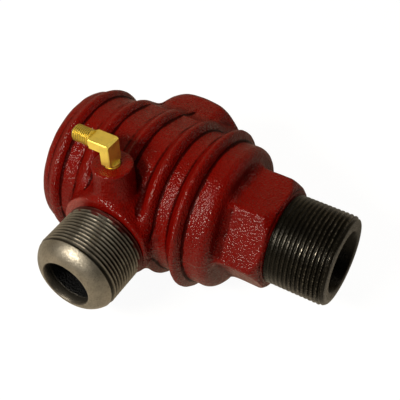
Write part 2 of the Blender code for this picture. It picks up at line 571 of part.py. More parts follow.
def make_unloader_elbow():
    """Brass elbow of flat bar with a mitred corner, threaded at both ends and drilled through."""
    cut = ELBOW_CORNER_CUT
    left, right = -ELBOW_OFFSET - ELBOW_THICKNESS / 2, -ELBOW_OFFSET + ELBOW_THICKNESS / 2
    under_z, top_z = ELBOW_AXIS_Z - ELBOW_THICKNESS / 2, ELBOW_AXIS_Z + ELBOW_THICKNESS / 2
    outline = [(left, ELBOW_BODY_Z), (right, ELBOW_BODY_Z), (right, top_z - cut), (right - cut, top_z),
               (-ELBOW_ARM, top_z), (-ELBOW_ARM, under_z), (left, under_z)]
    bm = bmesh.new()
    face = bm.faces.new([bm.verts.new((x, -ELBOW_HALF, z)) for x, z in outline])
    pushed = bmesh.ops.extrude_face_region(bm, geom=[face])["geom"]
    pushed_verts = [part for part in pushed if isinstance(part, bmesh.types.BMVert)]
    bmesh.ops.translate(bm, vec=(0, ELBOW_WIDTH, 0), verts=pushed_verts)
    elbow = link("unloader_elbow", bm)
    edges = elbow.modifiers.new("Edge chamfers", "BEVEL")
    edges.width = ELBOW_EDGE
    edges.segments = 1
    edges.limit_method = "ANGLE"
    edges.angle_limit = radians(50)

    thread_r = ELBOW_ROOT_R - GAP
    neck_r = ELBOW_HALF - ELBOW_EDGE / 2
    core_r = (right + ELBOW_BORE_R) / 2
    leg = [(ELBOW_START_Z, 0), (ELBOW_START_Z, thread_r), (BOSS_TOP_Z + GAP, thread_r),
           (BOSS_TOP_Z + GAP, neck_r), (ELBOW_BODY_Z + ELBOW_EDGE, neck_r),
           (ELBOW_BODY_Z + ELBOW_EDGE, core_r), (ELBOW_AXIS_Z, core_r), (ELBOW_AXIS_Z, 0)]
    shape(elbow, "UNION", turned("elbow_leg", leg, "Z", SMALL_SIDES))
    arm_root = ELBOW_ARM_THREAD_R - ELBOW_EDGE
    arm = turned("elbow_arm", [(-ELBOW_ARM + ELBOW_EDGE, 0), (-ELBOW_ARM + ELBOW_EDGE, arm_root),
                               (-ELBOW_ARM - ELBOW_EDGE, arm_root),
                               (-ELBOW_ARM - ELBOW_EDGE, ELBOW_ARM_THREAD_R),
                               (ELBOW_ARM_END_X + ELBOW_EDGE, ELBOW_ARM_THREAD_R),
                               (ELBOW_ARM_END_X, arm_root), (ELBOW_ARM_END_X, 0)], "X", SMALL_SIDES)
    arm.location.z = ELBOW_AXIS_Z
    shape(elbow, "UNION", arm)
    shape(elbow, "DIFFERENCE", bar("leg_bore", ELBOW_START_Z - OVERRUN, ELBOW_AXIS_Z, ELBOW_BORE_R, "Z",
                                   BORE_SIDES))
    arm_bore = bar("arm_bore", ELBOW_ARM_END_X - OVERRUN, 0, ELBOW_BORE_R, "X", BORE_SIDES)
    arm_bore.location.z = ELBOW_AXIS_Z
    shape(elbow, "DIFFERENCE", arm_bore)
    elbow.location.y = BOSS_Y
    for step in elbow.modifiers:
        if step.type == "BOOLEAN":
            step.object.location.y = BOSS_Y
    paint(elbow, BRASS)
    return elbow


def main():
    """Build every piece and set the whole valve on its origin."""
    clear_scene()
    make_valve_body()
    make_outlet_nipple()
    make_inlet_nipple()
    make_seat()
    moving = make_moving_pieces()
    make_rear_plug()
    make_return_spring()
    make_unloader_elbow()

    crossing = bpy.data.objects.new("crossing_of_axes", None)
    bpy.context.scene.collection.objects.link(crossing)
    crossing.location = ORIGIN_SHIFT
    lift_axis = bpy.data.objects.new("disc_lift_axis", None)
    bpy.context.scene.collection.objects.link(lift_axis)
    for piece in moving:
        piece.parent = lift_axis
    for obj in list(bpy.context.scene.collection.objects):
        if obj.parent is None and obj is not crossing:
            obj.parent = crossing


main()
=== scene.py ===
"""Looks of a cast-iron non-return valve: its casting, nipples, elbow, plug, spring and finishes.

Places are worked out about the crossing of the inlet's and the outlet's axes, in metres: +X runs
out of the outlet nipple, -Y out of the inlet nipple, +Y out of the rear port and +Z up the boss.
"""

import json
from math import atan, cos, pi, radians, sin

import bmesh
import bpy
import numpy as np
from bpy.props import FloatProperty, FloatVectorProperty, IntProperty, PointerProperty
from mathutils import Matrix, Vector


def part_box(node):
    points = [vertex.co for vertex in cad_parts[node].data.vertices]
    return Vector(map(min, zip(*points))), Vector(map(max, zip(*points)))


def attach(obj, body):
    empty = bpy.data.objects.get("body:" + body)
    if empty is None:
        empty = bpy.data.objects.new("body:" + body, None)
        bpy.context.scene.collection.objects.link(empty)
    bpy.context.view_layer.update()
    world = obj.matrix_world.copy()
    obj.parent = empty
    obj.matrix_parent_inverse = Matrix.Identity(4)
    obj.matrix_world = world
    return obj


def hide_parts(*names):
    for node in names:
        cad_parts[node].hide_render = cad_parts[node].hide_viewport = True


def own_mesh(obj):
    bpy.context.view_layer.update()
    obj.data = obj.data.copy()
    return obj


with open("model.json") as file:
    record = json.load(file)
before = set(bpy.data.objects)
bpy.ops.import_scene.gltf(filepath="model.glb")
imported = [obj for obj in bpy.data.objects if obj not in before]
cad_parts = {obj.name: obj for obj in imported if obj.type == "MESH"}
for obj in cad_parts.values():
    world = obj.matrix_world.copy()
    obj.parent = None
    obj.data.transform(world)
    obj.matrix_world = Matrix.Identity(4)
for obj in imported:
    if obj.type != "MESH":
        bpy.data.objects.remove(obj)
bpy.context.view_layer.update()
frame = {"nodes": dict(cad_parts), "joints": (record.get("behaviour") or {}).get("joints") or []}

bl_info = {
    "name": "Cast-iron non-return valve",
    "version": (1, 0, 0),
    "blender": (4, 5, 0),
    "location": "View3D > Sidebar > Valve",
    "description": "Builds the surfaces and finishes of a cast-iron non-return valve",
    "category": "Add Mesh",
}

# Where the axes cross, from the nipples that lie on them
CROSSING = Vector((sum(corner.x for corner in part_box("inlet_nipple")) / 2,
                   sum(corner.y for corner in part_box("outlet_nipple")) / 2,
                   sum(corner.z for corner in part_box("outlet_nipple")) / 2))


def place(node, side, axis):
    """Where a CAD node's low (0) or high (1) side lies on an axis, counted from the crossing."""
    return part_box(node)[side][axis] - CROSSING[axis]


# Faces and radii that the surfaces share with the solids
LEFT_X = place("valve_body", 0, 0)
OUTLET_FACE_X = place("valve_body", 1, 0)
OUTLET_INNER_X = place("outlet_nipple", 0, 0)
OUTLET_END_X = place("outlet_nipple", 1, 0)
INLET_FACE_Y = place("valve_body", 0, 1)
INLET_INNER_Y = place("inlet_nipple", 1, 1)
INLET_NOSE_Y = place("inlet_nipple", 0, 1)
INLET_CREST_R = place("inlet_nipple", 1, 0)
REAR_FACE_Y = place("valve_body", 1, 1)
FLANGE_R = place("seat_ring", 1, 0)
GASKET_END_Y = place("seat_gasket", 1, 1)
SEAT_LIP_Y = place("seat_ring", 1, 1)
PLUG_COLLAR_R = place("rear_plug", 1, 0)
PLUG_END_Y = place("rear_plug", 1, 1)
TOWER_Y = place("rear_plug", 0, 1)
WASHER_END_Y = place("plug_washer", 1, 1)
DISC_BACK_Y = place("valve_disc", 1, 1)
SPRING_END_Y = place("return_spring", 1, 1)
SPRING_OUT_R = place("return_spring", 1, 0)
LIFT = frame["joints"][0]["range_m"][1]
ELBOW_START_Z = place("unloader_elbow", 0, 2)
ELBOW_END_X = place("unloader_elbow", 0, 0)
BOSS_Y = (place("unloader_elbow", 0, 1) + place("unloader_elbow", 1, 1)) / 2

# The room that neighbours leave each other, a thread's height in pitches, and the room for cutters
GAP = 0.0003
THREAD_HEIGHT = 0.6
PAST = 0.002

# Fineness: cells of the casting, steps round a turned piece, rows to each thread turn
CELL = 0.00088
ROUND_STEPS = 192
THREAD_ROWS = 12

# Colours of stains, bare metal, painted highlights and glints, darker thread roots and hidden
# pieces, which no user would change
LIP_HIGHLIGHT_RED = (0.27, 0.055, 0.045)
BARE_IRON = (0.035, 0.03, 0.027)
CREST_GLINT_STEEL = (0.28, 0.25, 0.20)
BROWN_STAIN = (0.10, 0.08, 0.055)
CUT_STEEL = (0.06, 0.053, 0.043)
THREAD_ROOT_DARK = (0.015, 0.013, 0.010)
BORE_STEEL = (0.06, 0.052, 0.045)
SOOT = (0.02, 0.021, 0.024)
PLUG_STEEL = (0.36, 0.34, 0.30)
SPRING_STEEL = (0.28, 0.28, 0.27)
COPPER = (0.55, 0.22, 0.13)
FIBRE_BOARD = (0.22, 0.1, 0.06)
RUBBER = (0.02, 0.02, 0.02)
WARM_LIGHT = (1.0, 0.93, 0.80)


def length(name, description, default):
    """A size in metres that a user may change."""
    return FloatProperty(name=name, description=description, default=default, unit="LENGTH",
                         precision=5)


def colour(name, description, default):
    """A colour that a user may change."""
    return FloatVectorProperty(name=name, description=description, default=default,
                               subtype="COLOR", size=3, min=0, max=1)


class CastingSizes(bpy.types.PropertyGroup):
    """Sizes of the casting."""
    barrel_r: length("Barrel radius", "Radius of the barrel between its ribs", 0.0383)
    end_round: length("End round", "Radius of the closed end's edge", 0.005)
    rim_offset: length("Rim offset", "From the closed end to the crest of its rim", 0.0105)
    rim_height: length("Rim height", "Height of the rim by the closed end", 0.0029)
    rib_offset: length("First rib", "From the closed end to the first rib's crest", 0.0283)
    rib_spacing: length("Rib spacing", "From crest to crest of the first ribs", 0.0199)
    last_spacing: length("Last spacing", "From crest to crest of the last two ribs", 0.0171)
    rib_low: length("First rib height", "Height of the rib at the closed end", 0.0029)
    rib_high: length("Last rib height", "Height of the rib at the outlet", 0.0051)
    rib_left: length("Rib slope", "Width of a rib's long slope", 0.0062)
    rib_right: length("Rib drop", "Width of a rib's steep side", 0.0034)
    shoulder_length: length("Shoulder length", "From the last crest to the barrel's end", 0.0166)
    shoulder_round: length("Shoulder round", "Radius of the barrel's outlet edge", 0.006)
    neck_flats: length("Outlet flats", "From the outlet axis to a flat of its hexagon", 0.02646)
    rear_flats: length("Rear flats", "From the port's axis to a flat of its hexagon", 0.02712)
    inlet_neck_r: length("Inlet neck radius", "Radius of the round inlet neck", 0.0251)
    core_shift: length("Core shift", "How far the inlet neck's outside lies off its bore", 0.0013)
    boss_r: length("Boss radius", "Radius of the elbow's boss", 0.0102)
    boss_top: length("Boss top", "Height of the boss above the outlet axis", 0.04177)
    chamber_r: length("Chamber radius", "Radius of the hollow inside the barrel", 0.032)
    outlet_hole_r: length("Outlet hole", "Radius of the threaded outlet hole", 0.02296)
    plug_hole_r: length("Plug hole", "Radius of the rear port's hole", 0.01662)
    skin: length("Cast skin", "Height of the slow waves in the cast skin", 0.00004)


class NippleSizes(bpy.types.PropertyGroup):
    """Sizes of the two threaded nipples."""
    outlet_bore: length("Outlet bore", "Radius of the outlet nipple's bore", 0.0159)
    outlet_crest: length("Outlet crest", "Radius over the taper thread at its free end", 0.0234)
    outlet_pitch: length("Outlet pitch", "Pitch of the taper pipe thread", 0.002309)
    outlet_taper: FloatProperty(name="Outlet taper", default=0.03125,
                                description="Radius gained for each metre inwards")
    inlet_bore: length("Inlet bore", "Radius of the inlet nipple's bore", 0.0131)
    inlet_pitch: length("Inlet pitch", "Pitch of the inlet nipple's thread", 0.00204)
    inlet_thread: length("Inlet thread", "Length of the inlet thread outside the neck", 0.025)
    relief: length("Relief", "Width of the groove behind the nose", 0.0012)


class ElbowSizes(bpy.types.PropertyGroup):
    """Sizes of the brass elbow."""
    width: length("Width", "Width of the bar across the bend", 0.0092)
    thickness: length("Thickness", "Thickness of the bar in the plane of the bend", 0.0054)
    offset: length("Offset", "From the boss's axis to the middle of the leg's thickness", 0.0005)
    edge: length("Edge", "Chamfer along the bar's edges", 0.00035)
    corner: length("Corner", "Chamfer across the outer corner", 0.0009)
    neck: length("Neck", "Round neck between the boss and the bar", 0.0011)
    leg: length("Leg", "From the bar's lower end to the arm's axis", 0.0105)
    arm: length("Arm", "From the boss's axis to the end of the bar", 0.0098)
    pitch: length("Pitch", "Pitch of the fine pipe thread", 0.00106)
    crest: length("Crest", "Radius over the arm's thread crests", 0.0042)


class FinishColours(bpy.types.PropertyGroup):
    """Colours of the finishes."""
    enamel: colour("Enamel", "Dark red enamel of the casting", (0.134, 0.0018, 0.0005))
    enamel_worn: colour("Worn enamel", "Dusty paint on worn edges", (0.20, 0.10, 0.08))
    black_steel: colour("Black steel", "Oily steel of the outlet nipple", (0.0085, 0.0072, 0.0048))
    grey_steel: colour("Grey steel", "Turned steel of the inlet nipple", (0.29, 0.265, 0.22))
    brass: colour("Brass", "Brass of the elbow", (0.98, 0.75, 0.14))
    bright_steel: colour("Bright steel", "Machined steel of the inner pieces", (0.45, 0.45, 0.43))
    bronze: colour("Bronze", "Bronze of the seat and the bush", (0.46, 0.28, 0.13))


def filled_mesh(name, verts, quads):
    """A smooth-shaded mesh object from an array of points and an array of four-cornered faces."""
    mesh = bpy.data.meshes.new(name)
    mesh.vertices.add(len(verts))
    mesh.vertices.foreach_set("co", np.asarray(verts, np.float32).ravel())
    mesh.loops.add(quads.size)
    mesh.loops.foreach_set("vertex_index", quads.ravel().astype(np.int32))
    mesh.polygons.add(len(quads))
    mesh.polygons.foreach_set("loop_start", np.arange(0, quads.size, 4, dtype=np.int32))
    mesh.update(calc_edges=True)
    obj = bpy.data.objects.new(name, mesh)
    bpy.context.scene.collection.objects.link(obj)
    return obj


def smooth(obj, sharp):
    """Shade an object smooth but for edges sharper than an angle in degrees."""
    obj.data.shade_smooth()
    obj.data.set_sharp_from_angle(angle=radians(sharp))
    return obj


def tidy(obj, sharp=40):
    """Merge points that coincide, turn the faces outwards, and shade smooth but for sharp edges."""
    bm = bmesh.new()
    bm.from_mesh(obj.data)
    bmesh.ops.remove_doubles(bm, verts=bm.verts, dist=1e-7)
    bmesh.ops.recalc_face_normals(bm, faces=bm.faces)
    bm.to_mesh(obj.data)
    bm.free()
    return smooth(obj, sharp)


def close_ends(obj, sides):
    """Fill a bar's open ends, which have so many sides, and turn its faces outwards."""
    bm = bmesh.new()
    bm.from_mesh(obj.data)
    bmesh.ops.holes_fill(bm, edges=bm.edges, sides=sides)
    bmesh.ops.recalc_face_normals(bm, faces=bm.faces)
    bm.to_mesh(obj.data)
    bm.free()
    return obj


def grid_quads(rows, columns, close_rows):
    """Corner numbers of the faces of a grid whose columns wrap round, and whose rows may."""
    row = np.arange(rows if close_rows else rows - 1)[:, None]
    column = np.arange(columns)[None, :]
    after_row = (row + 1) % rows
    after_column = (column + 1) % columns
    quads = np.stack([row * columns + column, row * columns + after_column,
                      after_row * columns + after_column, after_row * columns + column], -1)
    return quads.reshape(-1, 4)


def turned(name, along, radius, axis, close_rows, offset=(0, 0, 0), sharp=40):
    """A surface turned about a line along an axis: a grid of places and radii, rows by steps round.

    Each row is one place of the profile. The point at turn t lies at radius * (cos t, sin t) across
    the axis and at its place along it. A closed profile makes a ring, an open one a bar.
    """
    columns = max(np.shape(radius)[-1], np.shape(along)[-1])
    turn = np.linspace(0, 2 * pi, columns, endpoint=False)[None, :]
    along, radius = np.broadcast_arrays(along, radius)
    order = {"X": (0, 1, 2), "Y": (1, 2, 0), "Z": (2, 0, 1)}[axis]
    points = np.empty(along.shape + (3,))
    points[..., order[0]] = along
    points[..., order[1]] = radius * np.cos(turn)
    points[..., order[2]] = radius * np.sin(turn)
    points += np.array(CROSSING) + np.array(offset)
    quads = grid_quads(along.shape[0], columns, close_rows)
    return tidy(filled_mesh(name, points.reshape(-1, 3), quads), sharp)


def plain_turned(name, profile, axis, offset=(0, 0, 0), sharp=40, steps=None):
    """A piece turned from a list of (place, radius); one that ends on the axis is a bar."""
    along, radius = np.array(profile, float).T[:, :, None]
    steps = steps or ROUND_STEPS
    radius = np.repeat(radius, steps, axis=1)
    return turned(name, along, radius, axis, profile[0][1] > 0, offset, sharp)


def stepped(steps, end):
    """The profile of plain cylinders in a row, from each one's start and radius, and their end."""
    profile = [(steps[0][0], 0)]
    for (start, radius), (stop, _) in zip(steps, steps[1:] + [(end, 0)]):
        profile += [(start, radius), (stop, radius)]
    return profile + [(end, 0)]


def shaped(target, operation, tool):
    """Cut a tool out of a closed mesh, or join it on, and take the tool away."""
    step = target.modifiers.new(operation.title(), "BOOLEAN")
    step.operation = operation
    step.solver = "MANIFOLD"
    step.object = tool
    before = len(target.data.vertices)
    graph = bpy.context.evaluated_depsgraph_get()
    target.data = bpy.data.meshes.new_from_object(target.evaluated_get(graph))
    target.modifiers.clear()
    if len(target.data.vertices) == before:
        raise RuntimeError(f"{tool.name} changed nothing on {target.name}")
    bpy.data.objects.remove(tool)
    return target


def joined(a, b, fillet):
    """Two solids as one: the lesser distance, with a quarter round of the fillet's radius."""
    inside = np.hypot(np.maximum(fillet - a, 0), np.maximum(fillet - b, 0))
    return np.maximum(fillet, np.minimum(a, b)) - inside


def shared(a, b, edge):
    """What two solids share: the greater distance, with the edge between them rounded."""
    outside = np.hypot(np.maximum(edge + a, 0), np.maximum(edge + b, 0))
    return np.minimum(-edge, np.maximum(a, b)) + outside


def hexagon(across, up, flats, edge):
    """Distance to a hexagon bar with flats above and below: the greatest of three ways across."""
    distance = np.abs(up) - flats
    for turn in (pi / 6, -pi / 6):
        distance = shared(distance, np.abs(across * cos(turn) + up * sin(turn)) - flats, edge)
    return distance


def flare(distance, size, reach):
    """How far a neck's foot spreads: its size there, falling by a power to nothing at its reach."""
    return size * np.clip(1 - distance / reach, 0, 1) ** 2.2


def barrel_radius(x, sizes):
    """Radius of the barrel: the plain radius and each rib, the closed end's rim among them, which
    rises as half a cosine wave on its left and falls as a quarter of an arch on its right."""
    radius = np.full(np.shape(x), float(sizes.barrel_r))
    first = LEFT_X + sizes.rib_offset
    crests = [LEFT_X + sizes.rim_offset, first, first + sizes.rib_spacing,
              first + 2 * sizes.rib_spacing]
    crests.append(crests[-1] + sizes.last_spacing)
    heights = [sizes.rim_height, *np.linspace(sizes.rib_low, sizes.rib_high, 4)]
    slopes = [sizes.rim_offset - sizes.end_round] + [sizes.rib_left] * 4
    for crest, height, slope in zip(crests, heights, slopes):
        left = np.clip((crest - x) / slope, 0, 1)
        right = np.clip((x - crest) / sizes.rib_right, 0, 1)
        radius += height * np.where(x < crest, (1 + np.cos(pi * left)) / 2, 1 - right ** 2.2)
    return radius


def barrel_end(sizes):
    """Where the barrel's body ends, towards the outlet."""
    last_crest = LEFT_X + sizes.rib_offset + 2 * sizes.rib_spacing + sizes.last_spacing
    return last_crest + sizes.shoulder_length


def neck_foot(sizes):
    """How far from the outlet's axis a side neck leaves the round barrel: the root of the barrel's
    radius squared less the neck's half width squared."""
    half_width = 0.0305
    return np.sqrt(sizes.barrel_r ** 2 - half_width ** 2)


def barrel_distance(x, y, z, sizes):
    """Distance to the barrel: the way to its ribbed radius over the slant of the ribs there, shared
    with its two ends."""
    step = 0.0001
    slope = (barrel_radius(x + step, sizes) - barrel_radius(x - step, sizes)) / (2 * step)
    side = (np.hypot(y, z) - barrel_radius(x, sizes)) / np.sqrt(1 + slope ** 2)
    barrel = shared(side, LEFT_X - x, sizes.end_round)
    return shared(barrel, x - barrel_end(sizes), sizes.shoulder_round)


def outlet_distance(x, y, z, sizes):
    """Distance to the outlet's neck: a hexagon that flares at its foot and has a cone across its
    corners, joined to a low ring round the outlet's hole."""
    flare_size, flare_reach = 0.003, 0.0144
    corner_edge, face_edge, ring_edge, fillet = 0.0011, 0.0006, 0.0005, 0.0004
    cone_slope, cone_length = 0.88, 0.0051
    ring_height, ring_wall = 0.0008, 0.0024
    from_x, past_face = np.hypot(y, z), x - OUTLET_FACE_X
    from_root = x - barrel_end(sizes) + sizes.shoulder_round
    neck = hexagon(y, z, sizes.neck_flats + flare(from_root, flare_size, flare_reach), corner_edge)
    corner_r = sizes.neck_flats / cos(pi / 6)
    cone = (from_x - corner_r + cone_slope * (past_face + cone_length)) / np.hypot(1, cone_slope)
    neck = shared(shared(neck, cone, face_edge), past_face + ring_height, face_edge)
    ring = shared(from_x - sizes.outlet_hole_r - ring_wall, past_face, ring_edge)
    return joined(np.maximum(neck, -x), np.maximum(ring, -x), fillet)


def rear_distance(x, y, z, sizes):
    """Distance to the rear neck: a hexagon with soft corners that flares at its foot and has a cone
    across its corners, steeper towards the outlet."""
    flare_size, flare_reach = 0.005, 0.0127
    corner_edge, cone_edge, face_edge = 0.003, 0.0016, 0.0007
    cone_slope, slope_gain, gain_width = 0.4, 0.85, 0.016
    flats = sizes.rear_flats + flare(y - neck_foot(sizes), flare_size, flare_reach)
    slope = cone_slope + slope_gain * np.clip(x / gain_width + 0.5, 0, 1)
    cone = (np.hypot(x, z) - sizes.rear_flats + slope * (y - REAR_FACE_Y)) / np.hypot(1, slope)
    rear = shared(hexagon(x, z, flats, corner_edge), cone, cone_edge)
    return np.maximum(shared(rear, y - REAR_FACE_Y, face_edge), -y)


def inlet_distance(x, y, z, sizes):
    """Distance to the inlet's neck, which is round, flares at its foot and lies off its bore."""
    flare_size, flare_reach, edge = 0.004, 0.0165, 0.0016
    radius = sizes.inlet_neck_r + flare(-y - neck_foot(sizes), flare_size, flare_reach)
    side = np.hypot(x + sizes.core_shift, z - sizes.core_shift / 2) - radius
    return np.maximum(shared(side, INLET_FACE_Y - y, edge), y)


def boss_distance(x, y, z, sizes):
    """Distance to the elbow's boss, which is round and flares at its foot."""
    flare_size, flare_reach, edge = 0.0012, 0.012, 0.0008
    radius = sizes.boss_r + flare(z - sizes.inlet_neck_r, flare_size, flare_reach)
    side = np.hypot(x, y - BOSS_Y) - radius
    return np.maximum(shared(side, z - sizes.boss_top, edge), -z)


def casting_distance(points, sizes):
    """Distance to the casting's outer skin, below zero inside: the barrel, to which each neck and
    the boss is joined by a fillet of its own, less the slow waves of the cast skin."""
    x, y, z = (points - np.array(CROSSING)).T
    whole = barrel_distance(x, y, z, sizes)
    for part, fillet in ((outlet_distance, 0.004), (rear_distance, 0.005),
                         (inlet_distance, 0.004), (boss_distance, 0.0028)):
        whole = joined(whole, part(x, y, z, sizes), fillet)
    return whole - sizes.skin * waves(points)


def waves(points):
    """Slow uneven waves of a sand-cast skin: a sum of sine waves that run in seeded directions."""
    count, shortest, longest = 18, 0.005, 0.016
    random = np.random.default_rng(7)
    ways = random.normal(size=(count, 3))
    ways /= np.linalg.norm(ways, axis=1)[:, None]
    lengths = random.uniform(shortest, longest, count)
    starts = random.uniform(0, 2 * pi, count)
    total = np.zeros(len(points))
    for way, wave, start in zip(ways, lengths, starts):
        total += np.sin(points @ way * (2 * pi / wave) + start)
    return total / np.sqrt(count / 2)


def zero_surface(name, distance, low, high):
    """A mesh of the surface where a distance is zero.

    Space is cut into equal cells. Each cell that the surface crosses gets one point, the mean of
    the crossings on its edges, and each grid edge that it crosses gets a face to the four cells
    round it. The points then slide down the distance's slope until it is zero.
    """
    counts = np.ceil((high - low) / CELL).astype(int) + 1
    ticks = [low[i] + CELL * np.arange(counts[i]) for i in range(3)]
    corners = np.stack(np.meshgrid(*ticks, indexing="ij"), -1)
    value = np.concatenate([distance(slab.reshape(-1, 3)) for slab in corners]).reshape(counts)
    total = np.zeros(tuple(counts) + (3,))
    number = np.zeros(counts, int)
    crossed = []
    for axis in range(3):
        first = tuple(slice(0, -1) if i == axis else slice(None) for i in range(3))
        second = tuple(slice(1, None) if i == axis else slice(None) for i in range(3))
        hit = np.zeros(counts, bool)
        hit[first] = (value[first] < 0) != (value[second] < 0)
        at = np.argwhere(hit)
        after = at + np.eye(3, dtype=int)[axis]
        here, there = value[tuple(at.T)], value[tuple(after.T)]
        point = corners[tuple(at.T)] + np.eye(3)[axis] * (CELL * here / (here - there))[:, None]
        one, two = np.eye(3, dtype=int)[[(axis + 1) % 3, (axis + 2) % 3]]
        around = [at, at - one, at - one - two, at - two]
        for cell in around:
            np.add.at(total, tuple(cell.T), point)
            np.add.at(number, tuple(cell.T), 1)
        crossed.append((np.stack(around, 1), here < 0))
    used = number > 0
    label = np.full(counts, -1)
    label[used] = np.arange(used.sum())
    points = total[used] / number[used][:, None]
    quads = []
    for around, outward in crossed:
        quad = label[tuple(np.moveaxis(around, -1, 0))]
        quads.append(np.where(outward[:, None], quad, quad[:, ::-1]))
    for _ in range(4):
        points -= newton_step(distance, points)
    return filled_mesh(name, points, np.concatenate(quads))


def slope_of(distance, points):
    """Slope of a distance along each axis, from its values a little to both sides."""
    step = 0.0001
    return np.stack([(distance(points + way) - distance(points - way)) / (2 * step)
                     for way in np.eye(3) * step], -1)


def newton_step(distance, points):
    """The way from each point to where the distance should be zero, at most half a cell long: the
    slope times the distance, over the slope squared."""
    least = 0.2
    slope = slope_of(distance, points)
    move = slope * (distance(points) / np.maximum((slope ** 2).sum(1), least))[:, None]
    size = np.linalg.norm(move, axis=1)[:, None]
    return move * np.minimum(1, CELL / 2 / np.maximum(size, 1e-9))


def mark_skin(obj, distance):
    """Store, for the finish, how far each point lies inside the skin and how the mesh bends there.

    The bend is minus twice the sum of the ways to a point's neighbours along its normal, over the
    sum of their squares: one over the radius, in 1/mm, above zero on edges and below in grooves. It
    is then evened out twice with the neighbours' mean.
    """
    mesh = obj.data
    points, normals = (np.empty(len(mesh.vertices) * 3) for _ in range(2))
    mesh.vertices.foreach_get("co", points)
    mesh.vertices.foreach_get("normal", normals)
    points, normals = points.reshape(-1, 3), normals.reshape(-1, 3)
    ends = np.empty(len(mesh.edges) * 2, int)
    mesh.edges.foreach_get("vertices", ends)
    first, second = ends.reshape(-1, 2).T
    here, there = np.concatenate([first, second]), np.concatenate([second, first])
    way = points[there] - points[here]
    rise = np.bincount(here, (way * normals[here]).sum(1), len(points))
    squares = np.bincount(here, (way ** 2).sum(1), len(points))
    per_millimetre = 0.001
    bend = -2 * per_millimetre * rise / np.maximum(squares, 1e-12)
    count = np.bincount(here, minlength=len(points))
    for _ in range(2):
        bend = (bend + np.bincount(here, bend[there], len(points)) / count) / 2
    for name, values in (("depth", -distance(points)), ("bend", bend)):
        attribute = mesh.attributes.new(name, "FLOAT", "POINT")
        attribute.data.foreach_set("value", values.astype(np.float32))


def add(tree, kind, inputs=None, **settings):
    """A shader node with its settings; an input is given a value or joined to an output."""
    made = tree.nodes.new(kind)
    for key, value in settings.items():
        setattr(made, key, value)
    for key, value in (inputs or {}).items():
        if isinstance(value, bpy.types.NodeSocket):
            tree.links.new(value, made.inputs[key])
        else:
            made.inputs[key].default_value = value
    return made


def maths(tree, operation, first, second=0.0, third=0.0):
    """The result of a sum on values or outputs."""
    made = add(tree, "ShaderNodeMath", {0: first, 1: second, 2: third}, operation=operation)
    return made.outputs[0]


def times(tree, first, second):
    """The product of two values or outputs."""
    return maths(tree, "MULTIPLY", first, second)


def parts_of(tree, where):
    """A place's parts along X, Y and Z."""
    return add(tree, "ShaderNodeSeparateXYZ", {0: where}).outputs


def from_axis(tree, first, second):
    """How far a place lies from an axis: the root of the sum of the squares of its parts across."""
    squares = [maths(tree, "POWER", part, 2.0) for part in (first, second)]
    return maths(tree, "SQRT", maths(tree, "ADD", *squares))


def ramp(tree, value, low, high, to_low=0.0, to_high=1.0):
    """A value spread smoothly from one span to another, and held at its ends."""
    made = add(tree, "ShaderNodeMapRange", {0: value, 1: low, 2: high, 3: to_low, 4: to_high},
               interpolation_type="SMOOTHSTEP")
    return made.outputs[0]


def noise(tree, where, size, detail, roughness):
    """Cloudy noise whose blotches are about one size wide, in metres."""
    inputs = {"Vector": where, "Scale": 1 / size, "Detail": detail, "Roughness": roughness}
    return add(tree, "ShaderNodeTexNoise", inputs).outputs[0]


def mixed(tree, share, first, second):
    """Two colours mixed by a share."""
    made = add(tree, "ShaderNodeMix", {0: share, 6: first, 7: second}, data_type="RGBA")
    return made.outputs[2]


def layered(tree, base, *layers):
    """A colour with other colours laid over it in turn, each by its share."""
    for share, over in layers:
        base = mixed(tree, share, base, over)
    return base


def bumped(tree, height, distance, normal=None):
    """A normal bent by a height, whose whole range stands for a distance in metres."""
    inputs = {"Height": height, "Distance": distance}
    if normal is not None:
        inputs["Normal"] = normal
    return add(tree, "ShaderNodeBump", inputs).outputs[0]


def rgba(values, level=1.0):
    """A colour, made lighter or darker by a level, with its alpha."""
    return tuple(value * level for value in values) + (1.0,)


def new_finish(name, metallic, **fixed):
    """A new material, its tree, its shader, and the place on the object from the crossing."""
    material = bpy.data.materials.new(name)
    material.use_nodes = True
    tree = material.node_tree
    shader = tree.nodes["Principled BSDF"]
    shader.inputs["Metallic"].default_value = metallic
    for key, value in fixed.items():
        shader.inputs[key.replace("_", " ")].default_value = value
    here = add(tree, "ShaderNodeTexCoord").outputs["Object"]
    centred = add(tree, "ShaderNodeMapping", {"Vector": here, "Location": -CROSSING}).outputs[0]
    return material, tree, shader, centred


def drive(tree, shader, base, roughness, normal):
    """Join a colour, a roughness and a normal to the shader."""
    tree.links.new(base, shader.inputs["Base Color"])
    tree.links.new(roughness, shader.inputs["Roughness"])
    tree.links.new(normal, shader.inputs["Normal"])


